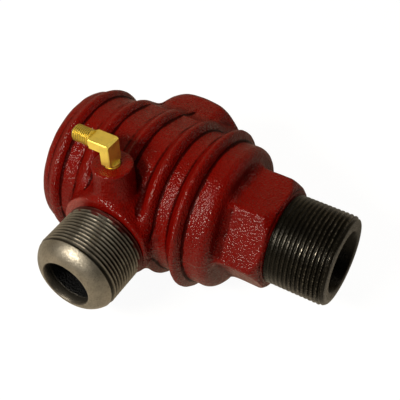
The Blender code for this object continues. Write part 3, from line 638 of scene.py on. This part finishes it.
def enamel_finish(colours):
    """Glossy dark red enamel over a grainy sand-cast skin: painted shade in the grooves, dusty on
    the edges, a painted highlight on one side of the inlet neck's face, with a fine ridge where the
    mould's halves met, and bare dark iron in the bores."""
    material, tree, shader, here = new_finish("red_enamel", 0.0, Coat_Roughness=0.06,
                                              Specular_IOR_Level=0.03)
    bend, depth = (add(tree, "ShaderNodeAttribute", attribute_name=name).outputs["Fac"]
                   for name in ("bend", "depth"))
    x, y, z = parts_of(tree, here)
    blotch = noise(tree, here, 0.014, 3.0, 0.6)
    grain = noise(tree, here, 0.00095, 1.0, 0.5)
    lumps = noise(tree, here, 0.003, 2.0, 0.5)

    wobble = maths(tree, "MULTIPLY_ADD", lumps, 0.0006, -0.0003)
    from_seam = maths(tree, "ABSOLUTE", maths(tree, "ADD", z, wobble))
    seam = ramp(tree, from_seam, 0.0002, 0.0007, 1.0, 0.0)
    # Painted shade: the enamel is darkened nearly to black where the mesh bends inwards, in the
    # grooves beside the ribs, and its coat is dulled there
    groove = ramp(tree, bend, -0.17, -0.05, 0.85, 0.0)
    edge = times(tree, ramp(tree, bend, 0.42, 0.8), ramp(tree, grain, 0.42, 0.62))
    worn = maths(tree, "MAXIMUM", times(tree, edge, 0.6), times(tree, seam, 0.16))
    # Painted highlight: a paler red laid on one side of the inlet neck's face
    near_face = ramp(tree, y, INLET_FACE_Y + 0.0002, INLET_FACE_Y + 0.0012, 0.75, 0.0)
    painted_highlight = times(tree, near_face, ramp(tree, x, -0.016, -0.007, 1.0, 0.0))
    bare = ramp(tree, depth, 0.0012, 0.0018)
    base = mixed(tree, blotch, rgba(colours.enamel, 0.8), rgba(colours.enamel, 1.2))
    base = layered(tree, base, (groove, rgba(colours.enamel, 0.08)),
                   (worn, rgba(colours.enamel_worn)), (painted_highlight, rgba(LIP_HIGHLIGHT_RED)),
                   (bare, rgba(BARE_IRON)))

    dull = times(tree, maths(tree, "ADD", worn, bare), 0.3)
    rough = maths(tree, "ADD", ramp(tree, lumps, 0.3, 0.7, 0.28, 0.4), dull)
    first = bumped(tree, lumps, 0.0003)
    second = bumped(tree, grain, 0.0006, first)
    normal = bumped(tree, seam, 0.00014, second)
    drive(tree, shader, base, rough, normal)

    aside = add(tree, "ShaderNodeLayerWeight", {"Blend": 0.5}).outputs["Facing"]
    gloss = ramp(tree, aside, 0.4, 0.9, 1.0, 0.4)
    on_grain = maths(tree, "MULTIPLY_ADD", ramp(tree, grain, 0.5, 0.7), 0.4, 0.31)
    coat = times(tree, on_grain, maths(tree, "MULTIPLY_ADD", groove, -1.2, 1.0))
    tree.links.new(times(tree, gloss, coat), shader.inputs["Coat Weight"])
    tree.links.new(normal, shader.inputs["Coat Normal"])
    return material


def black_steel_finish(colours, sizes):
    """Black oily pipe steel in uneven patches, with painted glints in pale specks on its thread's
    crests.
    """
    material, tree, shader, here = new_finish("black_steel", 0.6, Specular_IOR_Level=0.3)
    x, y, z = parts_of(tree, here)
    gained = times(tree, maths(tree, "SUBTRACT", OUTLET_END_X, x), sizes.outlet_taper)
    radius = maths(tree, "SUBTRACT", from_axis(tree, y, z), gained)
    crest = ramp(tree, radius, sizes.outlet_crest - 0.0008, sizes.outlet_crest + 0.0001)
    speck = noise(tree, here, 0.0009, 3.0, 0.7)
    blotch = noise(tree, here, 0.007, 3.0, 0.6)
    base = mixed(tree, blotch, rgba(colours.black_steel, 0.6), rgba(colours.black_steel, 1.5))
    # Painted glints: pale steel laid in specks on the thread's crests
    painted_highlight = times(tree, times(tree, crest, ramp(tree, speck, 0.48, 0.68)), 0.8)
    base = mixed(tree, painted_highlight, base, rgba(CREST_GLINT_STEEL))
    rough = ramp(tree, speck, 0.35, 0.65, 0.42, 0.2)
    normal = bumped(tree, speck, 0.00012, bumped(tree, blotch, 0.0002))
    drive(tree, shader, base, rough, normal)
    return material


def grey_steel_finish(colours, sizes):
    """Turned grey steel: fine rings from the lathe, mottled brown stains, darker colour in the
    thread's roots, a black rough bore, and red overspray on the first crests beside the neck."""
    material, tree, shader, here = new_finish("grey_steel", 0.85)
    x, y, z = parts_of(tree, here)
    radius = from_axis(tree, x, z)
    speck = noise(tree, here, 0.0008, 3.0, 0.65)
    blotch = noise(tree, here, 0.006, 4.0, 0.65)

    stain = ramp(tree, speck, 0.5, 0.72, 0.0, 0.5)
    thread_end = INLET_FACE_Y - sizes.inlet_thread
    cut = ramp(tree, y, thread_end - sizes.relief, thread_end - 0.0002)
    root = ramp(tree, radius, INLET_CREST_R - 0.00115, INLET_CREST_R - 0.00015, 0.95, 0.0)
    bore = ramp(tree, radius, sizes.inlet_bore + 0.00025, sizes.inlet_bore + 0.0006, 1.0, 0.0)
    soot = times(tree, bore, ramp(tree, y, INLET_NOSE_Y + 0.0045, INLET_NOSE_Y + 0.006))
    painted = ramp(tree, maths(tree, "MULTIPLY_ADD", blotch, 0.009, y),
                   INLET_FACE_Y + 0.0002, INLET_FACE_Y + 0.0016)
    base = mixed(tree, blotch, rgba(colours.grey_steel, 0.45), rgba(colours.grey_steel, 1.3))
    base = layered(tree, base, (stain, rgba(BROWN_STAIN)), (times(tree, cut, 0.2), rgba(CUT_STEEL)),
                   (times(tree, cut, root), rgba(THREAD_ROOT_DARK)),
                   (times(tree, bore, 0.7), rgba(BORE_STEEL)), (soot, rgba(SOOT)),
                   (times(tree, painted, 0.9), rgba(colours.enamel, 0.55)))

    rings = add(tree, "ShaderNodeTexWave", {"Vector": here, "Scale": 1300.0, "Distortion": 0.6},
                wave_type="BANDS", bands_direction="Y").outputs[1]
    rough = maths(tree, "ADD", ramp(tree, speck, 0.3, 0.7, 0.32, 0.48), times(tree, soot, 0.2))
    fine = bumped(tree, speck, 0.00012, bumped(tree, rings, 0.00001))
    grains = times(tree, noise(tree, here, 0.0011, 2.0, 0.6), soot)
    drive(tree, shader, base, rough, bumped(tree, grains, 0.0009, fine))
    return material


def brass_finish(colours, sizes, axis_z):
    """Bright drawn brass: fine die marks, faint darker blotches, and darker colour in the grooves
    of the arm's thread, whose axis lies along X at a height."""
    material, tree, shader, here = new_finish("brass", 0.78)
    along_arm = (0.08, 1.0, 1.0)
    stretched = add(tree, "ShaderNodeMapping", {"Vector": here, "Scale": along_arm}).outputs[0]
    marks = noise(tree, stretched, 0.0004, 3.0, 0.7)
    blotch = noise(tree, here, 0.004, 3.0, 0.6)
    x, y, z = parts_of(tree, here)
    radius = from_axis(tree, maths(tree, "SUBTRACT", y, BOSS_Y), maths(tree, "SUBTRACT", z, axis_z))
    threaded = ramp(tree, x, ELBOW_END_X + 0.0097, ELBOW_END_X + 0.0099, 1.0, 0.0)
    root_r = sizes.crest - THREAD_HEIGHT * sizes.pitch
    darker_roots = times(tree, threaded, ramp(tree, radius, root_r, sizes.crest - 0.0001, 0.85, 0.0))
    base = layered(tree, rgba(colours.brass),
                   (ramp(tree, blotch, 0.4, 0.8), rgba(colours.brass, 0.8)),
                   (darker_roots, rgba(colours.brass, 0.16)))
    drive(tree, shader, base, ramp(tree, marks, 0.3, 0.7, 0.34, 0.46), bumped(tree, marks, 0.00003))
    return material


def machined_finish(name, base_colour):
    """A machined metal: faint stains, fine grain, and rings round the moving axis."""
    material, tree, shader, here = new_finish(name, 1.0)
    blotch = noise(tree, here, 0.005, 3.0, 0.6)
    speck = noise(tree, here, 0.0006, 2.0, 0.6)
    base = mixed(tree, blotch, rgba(base_colour, 0.75), rgba(base_colour, 1.15))
    rings = add(tree, "ShaderNodeTexWave", {"Vector": here, "Scale": 900.0, "Distortion": 0.4},
                wave_type="RINGS", rings_direction="Y").outputs[1]
    normal = bumped(tree, rings, 0.000012, bumped(tree, speck, 0.00002))
    drive(tree, shader, base, ramp(tree, speck, 0.3, 0.7, 0.22, 0.38), normal)
    return material


def soft_finish(name, base_colour, size, distance):
    """A soft matte ring of rubber or fibre board: dull mottling and a grain of a size and depth."""
    material, tree, shader, here = new_finish(name, 0.0)
    blotch = noise(tree, here, size * 6, 3.0, 0.6)
    grain = noise(tree, here, size, 3.0, 0.7)
    base = mixed(tree, blotch, rgba(base_colour, 0.7), rgba(base_colour, 1.3))
    rough = ramp(tree, grain, 0.3, 0.7, 0.55, 0.8)
    drive(tree, shader, base, rough, bumped(tree, grain, distance))
    return material


def dress(obj, material):
    """Give an object one material in place of those that it has."""
    obj.data.materials.clear()
    obj.data.materials.append(material)


def thread_grid(start, end, turns, steps):
    """Places along a thread of so many turns, as rows, and the share of a turn at each step."""
    along = np.linspace(start, end, int(turns * THREAD_ROWS))[:, None]
    return along, np.linspace(0, 1, steps, endpoint=False)[None, :]


def thread_depth(along, pitch, turns, flat=0.12):
    """How far a thread's flank lies below its crest, from 0 to 1: a triangle wave along the axis
    that moves on by one pitch each turn, with its tips cut flat and its valleys rounded."""
    phase = (along / pitch - turns) % 1.0
    wave = 1 - np.abs(2 * phase - 1)
    wave = np.clip((wave - flat) / (1 - 1.4 * flat), 0, 1)
    return np.sin(wave * pi / 2) ** 1.15


def with_tail(name, along, radius, tail, axis):
    """A ring turned from a thread's rows and, after them, from a plain profile."""
    tail_along, tail_radius = np.array(tail).T[:, :, None]
    radius = np.concatenate([radius, np.repeat(tail_radius, radius.shape[1], 1)])
    return turned(name, np.concatenate([along, tail_along]), radius, axis, True, sharp=50)


class VALVE_OT_casting(bpy.types.Operator):
    """Build the ribbed casting with its necks, boss and hollow"""
    bl_idname = "valve.casting"
    bl_label = "Casting"

    def execute(self, context):
        sizes = context.scene.valve_casting

        def skin(points):
            """Distance to the casting's skin."""
            return casting_distance(points, sizes)

        widest = sizes.barrel_r + sizes.rib_high
        low = np.array([LEFT_X, INLET_FACE_Y, -widest]) - 3 * CELL
        high = np.array([OUTLET_FACE_X, REAR_FACE_Y, widest]) + 3 * CELL
        centre = np.array(CROSSING)
        body = zero_surface("casting", skin, low + centre, high + centre)
        for tool in self.hollows(sizes):
            shaped(body, "DIFFERENCE", tool)
        mark_skin(body, skin)
        smooth(body, 62)
        dress(body, enamel_finish(context.scene.valve_colours))
        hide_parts("valve_body")
        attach(body, "casing")
        return {"FINISHED"}

    def hollows(self, sizes):
        """The chamber less the seat's web, with the outlet's hole, and the inlet's stepped hole,
        the port's and the boss's."""
        wall, steps = 0.007, 96
        shoulder_x, throat_x = OUTLET_INNER_X - 0.0103, OUTLET_INNER_X - 0.0027
        throat_r = sizes.outlet_hole_r - 0.004
        end_x = LEFT_X + wall
        chamber = [(end_x, 0), (end_x, sizes.chamber_r - sizes.end_round),
                   (end_x + sizes.end_round, sizes.chamber_r),
                   (shoulder_x, sizes.chamber_r), (throat_x, throat_r),
                   (OUTLET_INNER_X - GAP, throat_r), (OUTLET_INNER_X - GAP, sizes.outlet_hole_r),
                   (OUTLET_FACE_X + PAST, sizes.outlet_hole_r), (OUTLET_FACE_X + PAST, 0)]
        web_start_y, web_end_y = -0.04, SEAT_LIP_Y - 0.0021
        web = stepped([(web_start_y, sizes.inlet_neck_r)], web_end_y)
        seat_hole_r, drill_r, tapped_r = 0.0176, 0.0014, 0.0043
        inlet = stepped([(INLET_FACE_Y - PAST, FLANGE_R + GAP), (GASKET_END_Y + GAP, seat_hole_r)],
                        web_end_y + PAST)
        port = stepped([(0, sizes.plug_hole_r)], REAR_FACE_Y + PAST)
        drilled = stepped([(0, drill_r), (ELBOW_START_Z - GAP, tapped_r)], sizes.boss_top + PAST)
        hollow = plain_turned("chamber", chamber, "X", steps=steps)
        shaped(hollow, "DIFFERENCE", plain_turned("web", web, "Y", steps=steps))
        return [hollow, plain_turned("inlet_hole", inlet, "Y", steps=steps),
                plain_turned("port_hole", port, "Y", steps=steps),
                plain_turned("boss_hole", drilled, "Z", (0, BOSS_Y, 0), steps=steps // 2)]


class VALVE_OT_outlet_nipple(bpy.types.Operator):
    """Build the black outlet nipple with its taper pipe thread: the crest's radius grows inwards by
    the taper, the groove lies below it, and a quarter of an ellipse rounds the free end"""
    bl_idname = "valve.outlet_nipple"
    bl_label = "Outlet nipple"

    def execute(self, context):
        sizes = context.scene.valve_nipples
        pitch, bore_r = sizes.outlet_pitch, sizes.outlet_bore
        start = OUTLET_FACE_X + GAP
        along, turns = thread_grid(start, OUTLET_END_X, (OUTLET_END_X - start) / pitch, ROUND_STEPS)
        crest = sizes.outlet_crest + sizes.outlet_taper * (OUTLET_END_X - along)
        groove = THREAD_HEIGHT * pitch * thread_depth(along, pitch, turns)
        end_length, end_depth, play = 0.0036, 0.0022, 0.0001
        end_share = np.clip((along - OUTLET_END_X + end_length) / end_length, 0, 1)
        cap = sizes.outlet_crest + play - end_depth * (1 - np.sqrt(1 - end_share ** 2))
        plain_depth, lead_in = 0.32, 0.0007
        plain_r = sizes.outlet_crest - plain_depth * pitch
        tail = [(OUTLET_END_X, bore_r + lead_in), (OUTLET_END_X - lead_in, bore_r),
                (OUTLET_INNER_X, bore_r), (OUTLET_INNER_X, plain_r), (start, plain_r)]
        nipple = with_tail("outlet_pipe_nipple", along, np.minimum(crest - groove, cap), tail, "X")
        dress(nipple, black_steel_finish(context.scene.valve_colours, sizes))
        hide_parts("outlet_nipple")
        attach(nipple, "casing")
        return {"FINISHED"}


class VALVE_OT_inlet_nipple(bpy.types.Operator):
    """Build the grey inlet nipple with its relief and domed nose: its thread's groove lies below an
    even crest and runs out into the relief"""
    bl_idname = "valve.inlet_nipple"
    bl_label = "Inlet nipple"

    def execute(self, context):
        sizes = context.scene.valve_nipples
        pitch, bore_r = sizes.inlet_pitch, sizes.inlet_bore
        root_r = INLET_CREST_R - THREAD_HEIGHT * pitch
        start, end = INLET_FACE_Y - GAP, INLET_FACE_Y - sizes.inlet_thread
        along, turns = thread_grid(start, end, sizes.inlet_thread / pitch, ROUND_STEPS)
        fade_length = 0.0008
        fade = np.clip((along - end) / fade_length, 0, 1)
        deep = np.maximum(thread_depth(along, pitch, turns), 1 - fade)
        radius = INLET_CREST_R - THREAD_HEIGHT * pitch * deep
        profile = [(end, root_r), *self.nose(end - sizes.relief, root_r, bore_r),
                   (INLET_INNER_Y, root_r), (start, root_r)]
        nipple = with_tail("inlet_union_nipple", along, radius, profile, "Y")
        dress(nipple, grey_steel_finish(context.scene.valve_colours, sizes))
        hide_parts("inlet_nipple")
        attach(nipple, "casing")
        return {"FINISHED"}

    def nose(self, start, root_r, bore_r):
        """The profile of the domed nose and the bore: a straight line from the nose's shoulder to
        its flat end, pushed out square to itself by bulge * 4 * share * (1 - share)."""
        nose_r, flat_r = INLET_CREST_R - 0.0005, bore_r + 0.0011
        bulge, step, edge = 0.0012, 0.0004, 0.0002
        share = np.linspace(0, 1, 24)
        length_y = start - INLET_NOSE_Y
        lean = atan(length_y / (nose_r - flat_r))
        pushed = bulge * 4 * share * (1 - share)
        dome = np.stack([start - length_y * share - pushed * cos(lean),
                         nose_r + (flat_r - nose_r) * share + pushed * sin(lean)], 1)
        deep_r = bore_r + 0.0003
        return [(start + edge, root_r), (start + edge, nose_r - step), *dome,
                (INLET_NOSE_Y, flat_r - 0.0005), (INLET_NOSE_Y + step, bore_r + 0.0001),
                (INLET_NOSE_Y + 0.0045, bore_r), (INLET_NOSE_Y + 0.005, deep_r),
                (INLET_INNER_Y, deep_r)]


class VALVE_OT_elbow(bpy.types.Operator):
    """Build the brass elbow: a flat bar with its two ends turned and chamfered, joined to the leg's
    shank and to the threaded arm, and bored through"""
    bl_idname = "valve.elbow"
    bl_label = "Brass elbow"

    def execute(self, context):
        sizes = context.scene.valve_elbow
        boss_top = context.scene.valve_casting.boss_top
        foot = boss_top + sizes.neck
        axis_z = foot + sizes.leg
        on_leg, on_arm = ("Z", (0, BOSS_Y, 0)), ("X", (0, BOSS_Y, axis_z))
        chamfer, far = 0.0007, 0.04
        end_r = sizes.width / 2 - 0.0004
        elbow = self.flat_bar(sizes, foot, axis_z)
        for name, start, line in (("leg_end", foot, on_leg), ("arm_end", -sizes.arm, on_arm)):
            end = [(start, 0), (start, end_r), (start + chamfer, end_r + chamfer),
                   (start + chamfer, far), (start + far, far), (start + far, 0)]
            shaped(elbow, "INTERSECT", plain_turned(name, end, *line, steps=64))
        lap, thread_r = 0.0004, 0.0042 - GAP
        neck_r, core_r = end_r - lap, sizes.thickness / 2 - sizes.offset - lap
        leg = stepped([(ELBOW_START_Z, thread_r), (boss_top + GAP, neck_r), (foot + lap, core_r)],
                      axis_z)
        shaped(elbow, "UNION", plain_turned("leg", leg, *on_leg, steps=64))
        shaped(elbow, "UNION", self.threaded_arm(sizes, axis_z))
        bore_r = 0.0012
        for name, start, end, line in (("leg_bore", ELBOW_START_Z, axis_z, on_leg),
                                       ("arm_bore", ELBOW_END_X, 0, on_arm)):
            bore = stepped([(start - PAST, bore_r)], end)
            shaped(elbow, "DIFFERENCE", plain_turned(name, bore, *line, steps=32))
        smooth(elbow, 12)
        dress(elbow, brass_finish(context.scene.valve_colours, sizes, axis_z))
        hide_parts("unloader_elbow")
        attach(elbow, "casing")
        return {"FINISHED"}

    def flat_bar(self, sizes, foot, axis_z):
        """The flat bar: an eight-sided section carried up the leg, round the corner, along the arm.

        A section's point has a place across the bend, from the inside to the outside, and one along
        Y. The two sections at the corner share their inner edge and stand apart by the corner's
        chamfer at their outer edge.
        """
        half, wide = sizes.thickness / 2, sizes.width / 2
        short, narrow = half - sizes.edge, wide - sizes.edge
        out = np.array([half, half, short, -short, -half, -half, -short, short])
        side = np.array([-narrow, narrow, wide, wide, narrow, -narrow, -wide, -wide])
        spread = sizes.corner * (out + half) / sizes.thickness
        across = out - sizes.offset
        sections = [(across, side, np.full(8, foot - axis_z)), (across, side, out - spread),
                    (across - spread, side, out), (np.full(8, -sizes.arm), side, out)]
        points = np.array([np.stack([x, y + BOSS_Y, z + axis_z], 1) for x, y, z in sections])
        points += np.array(CROSSING)
        bar = filled_mesh("brass_elbow", points.reshape(-1, 3), grid_quads(4, 8, False))
        return close_ends(bar, 8)

    def threaded_arm(self, sizes, axis_z):
        """The arm's round end with its fine thread, from a stub in the bar to its chamfered tip."""
        start, steps = -sizes.arm, ROUND_STEPS // 2
        tip_length, tip_depth = 0.0012, 0.0011
        thread_turns = (start - ELBOW_END_X) / sizes.pitch
        along, turns = thread_grid(start, ELBOW_END_X, thread_turns, steps)
        tip = np.clip((ELBOW_END_X + tip_length - along) / tip_length, 0, 1)
        groove = THREAD_HEIGHT * sizes.pitch * thread_depth(along, sizes.pitch, turns)
        radius = np.minimum(sizes.crest - groove, sizes.crest - tip_depth * tip)
        inside, stub, stub_r, edge = start + 0.0004, 0.001, 0.002, 0.0002
        inner = np.array([(inside + stub, 0), (inside + stub, stub_r), (inside, stub_r),
                          (inside, sizes.crest - edge), (inside - edge, sizes.crest)])
        inner_along, inner_radius = inner.T[:, :, None]
        along = np.concatenate([inner_along, along, [[ELBOW_END_X]]])
        radius = np.concatenate([np.repeat(inner_radius, steps, 1), radius, np.zeros((1, steps))])
        return turned("arm", along, radius, "X", False, (0, BOSS_Y, axis_z))


class VALVE_OT_rear_plug(bpy.types.Operator):
    """Build the collar plug of the rear port and finish its washer and bush"""
    bl_idname = "valve.rear_plug"
    bl_label = "Rear plug"

    def execute(self, context):
        colours = context.scene.valve_colours
        sizes = context.scene.valve_casting
        collar_y, seat_y = WASHER_END_Y + GAP, SPRING_END_Y + GAP
        tower_r, shank_r = SPRING_OUT_R - 0.002, sizes.plug_hole_r - GAP
        edge, chamfer = 0.0002, 0.0008
        profile = [(TOWER_Y, 0), (TOWER_Y, tower_r), (seat_y, tower_r), (seat_y, shank_r),
                   (collar_y, shank_r), (collar_y, PLUG_COLLAR_R - edge),
                   (collar_y + edge, PLUG_COLLAR_R), (PLUG_END_Y - chamfer, PLUG_COLLAR_R),
                   (PLUG_END_Y, PLUG_COLLAR_R - chamfer), (PLUG_END_Y, 0)]
        plug = plain_turned("collar_plug", profile, "Y")
        spare = 0.002
        bush_r = (place("guide_bush", 1, 0) - place("guide_bush", 0, 0)) / 2 + GAP
        blind_y = place("guide_bush", 1, 1) + LIFT + spare
        bore = stepped([(TOWER_Y - PAST, bush_r)], blind_y)
        shaped(plug, "DIFFERENCE", plain_turned("blind_bore", bore, "Y", steps=64))
        floor_y, socket_r = PLUG_END_Y - 0.0032, 0.0098
        socket = stepped([(floor_y, socket_r)], PLUG_END_Y + PAST)
        shaped(plug, "DIFFERENCE", plain_turned("key_socket", socket, "Y", steps=6))
        smooth(plug, 30)
        dress(plug, machined_finish("plug_steel", PLUG_STEEL))
        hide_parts("rear_plug")
        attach(plug, "casing")
        dress(frame["nodes"]["plug_washer"], machined_finish("copper", COPPER))
        dress(frame["nodes"]["guide_bush"], machined_finish("bush_bronze", colours.bronze))
        return {"FINISHED"}


class VALVE_OT_spring(bpy.types.Operator):
    """Build the return spring: a round wire carried along a helix that rises slowly at both
    ends"""
    bl_idname = "valve.spring"
    bl_label = "Return spring"

    turns: IntProperty(name="Turns", description="Turns of the spring", default=7)

    def execute(self, context):
        wire_r, sides, steps = 0.0007, 14, 40
        closed, closed_rise = 0.1, 0.035
        low, high = DISC_BACK_Y + GAP + wire_r, SPRING_END_Y - wire_r
        share = np.linspace(0, 1, steps * self.turns)
        rise = np.interp(share, [0, closed, 1 - closed, 1], [0, closed_rise, 1 - closed_rise, 1])
        rise = (rise * (high - low) + low)[:, None]
        turn = (2 * pi * self.turns * share)[:, None]
        around = np.linspace(0, 2 * pi, sides, endpoint=False)[None, :]
        reach = SPRING_OUT_R - wire_r + wire_r * np.cos(around)
        points = np.stack([reach * np.cos(turn), rise + wire_r * np.sin(around),
                           reach * np.sin(turn)], -1) + np.array(CROSSING)
        spring = filled_mesh("coil_spring", points.reshape(-1, 3),
                             grid_quads(len(share), sides, False))
        tidy(close_ends(spring, sides), 50)
        dress(spring, machined_finish("spring_steel", SPRING_STEEL))
        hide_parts("return_spring")
        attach(spring, "casing")
        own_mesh(spring)
        return {"FINISHED"}


class VALVE_OT_inner_pieces(bpy.types.Operator):
    """Finish the seat, the disc and the small pieces inside"""
    bl_idname = "valve.inner_pieces"
    bl_label = "Seat and disc"

    def execute(self, context):
        colours = context.scene.valve_colours
        nodes = frame["nodes"]
        dress(nodes["seat_ring"], machined_finish("seat_bronze", colours.bronze))
        dress(nodes["seat_gasket"], soft_finish("fibre_board", FIBRE_BOARD, 0.0004, 0.00005))
        dress(nodes["disc_seal"], soft_finish("seal_rubber", RUBBER, 0.0003, 0.00002))
        steel = machined_finish("bright_steel", colours.bright_steel)
        for name in ("valve_disc", "seal_washer", "seal_nut", "guide_stem"):
            dress(nodes[name], steel)
        return {"FINISHED"}


class VALVE_OT_stage(bpy.types.Operator):
    """Set up the floor, the studio surround, the lamps and the camera"""
    bl_idname = "valve.stage"
    bl_label = "Stage"

    def execute(self, context):
        scene = context.scene
        scene.view_settings.view_transform = "Standard"
        self.floor()
        self.surround()
        self.world(scene)
        self.lamp("key", (-0.14, -0.72, 0.68), 0.62, 0.24, 0.10, 3.9)
        self.lamp("front", (0.14, -0.87, 0.46), 0.9, 0.6, 0.3, 0.8)
        self.lamp("top", (0.0, 0.15, 0.98), 0.8, 0.7, 0.7, 1.9).visible_glossy = False
        self.lamp("glint", (0.69, 0.56, 0.44), 0.9, 0.24, 0.24, 0.5)
        self.camera(scene)
        return {"FINISHED"}

    def camera(self, scene):
        """The photograph's camera: it looks from 33 degrees round and 45 above, turned a little,
        and stands 0.42 m away."""
        data = bpy.data.cameras.new("camera")
        data.sensor_width = 36.0
        data.lens = 70.9
        eye = bpy.data.objects.new("camera", data)
        scene.collection.objects.link(eye)
        right = Vector((0.853, 0.522, -0.027)).normalized()
        back = right.cross(Vector((-0.353, 0.614, 0.706))).normalized()
        turn = Matrix((right, back.cross(right), back)).transposed()
        stand = CROSSING + Vector((0.1858, -0.2438, 0.2935))
        eye.matrix_world = Matrix.Translation(stand) @ turn.to_4x4()
        scene.camera = eye

    def lamp(self, name, way, distance, width, height, power):
        """A soft rectangular lamp in a direction from the valve, turned to face it."""
        data = bpy.data.lights.new(name, "AREA")
        data.shape = "RECTANGLE"
        data.size = width
        data.size_y = height
        data.energy = power
        data.color = WARM_LIGHT
        lamp = bpy.data.objects.new(name, data)
        bpy.context.scene.collection.objects.link(lamp)
        way = Vector(way).normalized()
        lamp.location = CROSSING + way * distance
        lamp.rotation_euler = way.to_track_quat("Z", "Y").to_euler()
        return lamp

    def bare_material(self, name):
        """An empty material of the stage, its tree, and the place on the object in three parts."""
        material = bpy.data.materials.new(name)
        material.use_nodes = True
        tree = material.node_tree
        tree.nodes.clear()
        return material, tree, parts_of(tree, add(tree, "ShaderNodeTexCoord").outputs["Object"])

    def floor(self):
        """A pale floor, which shows white but for a soft shadow. Gloss sees it bright in front of
        the valve and close under it, and dim elsewhere."""
        reach = 3.0
        corners = reach * np.array([(-1, -1, 0), (1, -1, 0), (1, 1, 0), (-1, 1, 0)])
        floor = filled_mesh("floor", corners, np.array([[0, 1, 2, 3]]))
        material, tree, (x, y, _) = self.bare_material("floor")
        pale, faint = (add(tree, "ShaderNodeBsdfDiffuse", {"Color": rgba(shade)}).outputs[0]
                       for shade in ((0.5, 0.47, 0.42), (0.1, 0.1, 0.1)))
        direct = add(tree, "ShaderNodeLightPath").outputs["Is Camera Ray"]
        tint = mixed(tree, direct, (1, 0.8, 0.55, 1), (1, 1, 1, 1))
        glow = add(tree, "ShaderNodeEmission", {"Color": tint, "Strength": 0.95}).outputs[0]
        white = add(tree, "ShaderNodeAddShader", {0: glow, 1: faint}).outputs[0]
        ahead = times(tree, ramp(tree, y, -0.13, -0.07, 0.7, 0.0),
                      ramp(tree, x, -0.03, 0.03, 1.0, 0.1))
        under = ramp(tree, from_axis(tree, x, y), 0.045, 0.12, 0.5, 0.04)
        share = self.seen_directly(tree, maths(tree, "MAXIMUM", ahead, under))
        mix = add(tree, "ShaderNodeMixShader", {0: share, 1: pale, 2: white}).outputs[0]
        add(tree, "ShaderNodeOutputMaterial", {0: mix})
        dress(floor, material)

    def seen_directly(self, tree, gloss):
        """A share of 1 for rays from the camera and through glass, another for gloss, else 0."""
        path = add(tree, "ShaderNodeLightPath").outputs
        clear = maths(tree, "MAXIMUM", path["Is Camera Ray"], path["Is Transmission Ray"])
        return maths(tree, "MAXIMUM", clear, times(tree, path["Is Glossy Ray"], gloss))

    def surround(self):
        """A dome of dark studio cloth round the valve, brighter low at the back, which the camera
        looks through: reach times (cos rise cos turn, cos rise sin turn, sin rise)."""
        rows, columns, reach = 16, 48, 1.5
        turn = np.linspace(0, 2 * pi, columns, endpoint=False)[None, :]
        rise = np.linspace(0.02, pi / 2, rows)[:, None]
        points = reach * np.stack([np.cos(rise) * np.cos(turn), np.cos(rise) * np.sin(turn),
                                   np.sin(rise) + 0 * turn], -1)
        cloth = filled_mesh("studio_cloth", points.reshape(-1, 3), grid_quads(rows, columns, False))
        cloth.visible_camera = False
        material, tree, (x, y, z) = self.bare_material("studio_cloth")
        low = ramp(tree, z, 0.9, 1.42, 1.0, 0.0)
        back = ramp(tree, maths(tree, "SUBTRACT", y, x), 0.2, 1.8)
        glow = maths(tree, "MULTIPLY_ADD", times(tree, low, back), 0.5, 0.015)
        light = add(tree, "ShaderNodeEmission", {"Color": (1, 0.8, 0.5, 1), "Strength": glow})
        add(tree, "ShaderNodeOutputMaterial", {0: light.outputs[0]})
        dress(cloth, material)

    def world(self, scene):
        """A white world where it is seen, and a dim one where it lights."""
        world = bpy.data.worlds.new("studio")
        world.use_nodes = True
        scene.world = world
        tree = world.node_tree
        dim = 0.3
        strength = maths(tree, "MAXIMUM", self.seen_directly(tree, 1.0), dim)
        background = tree.nodes["Background"]
        background.inputs[0].default_value = (1, 1, 1, 1)
        tree.links.new(strength, background.inputs[1])


class VALVE_PT_panel(bpy.types.Panel):
    """Lists the valve's pieces and sizes"""
    bl_idname = "VALVE_PT_panel"
    bl_label = "Non-return valve"
    bl_space_type = "VIEW_3D"
    bl_region_type = "UI"
    bl_category = "Valve"

    def draw(self, context):
        for operator in OPERATORS:
            self.layout.operator(operator.bl_idname)
        for name in GROUPS:
            self.layout.label(text=name.removeprefix("valve_").title())
            group = getattr(context.scene, name)
            for key in group.__annotations__:
                self.layout.prop(group, key)


OPERATORS = (VALVE_OT_casting, VALVE_OT_outlet_nipple, VALVE_OT_inlet_nipple, VALVE_OT_elbow,
             VALVE_OT_rear_plug, VALVE_OT_spring, VALVE_OT_inner_pieces, VALVE_OT_stage)
GROUPS = {"valve_casting": CastingSizes, "valve_nipples": NippleSizes,
          "valve_elbow": ElbowSizes, "valve_colours": FinishColours}


def register():
    """Add the classes and the settings to Blender."""
    for kind in (*GROUPS.values(), *OPERATORS, VALVE_PT_panel):
        bpy.utils.register_class(kind)
    for name, group in GROUPS.items():
        setattr(bpy.types.Scene, name, PointerProperty(type=group))


def unregister():
    """Take the settings and the classes away again."""
    for name in GROUPS:
        delattr(bpy.types.Scene, name)
    for kind in (VALVE_PT_panel, *reversed(OPERATORS), *GROUPS.values()):
        bpy.utils.unregister_class(kind)


def main():
    """Build every piece round the frame."""
    register()
    bpy.ops.valve.casting()
    bpy.ops.valve.outlet_nipple()
    bpy.ops.valve.inlet_nipple()
    bpy.ops.valve.elbow()
    bpy.ops.valve.rear_plug()
    bpy.ops.valve.spring()
    bpy.ops.valve.inner_pieces()
    bpy.ops.valve.stage()


if __name__ == "__main__":
    main()
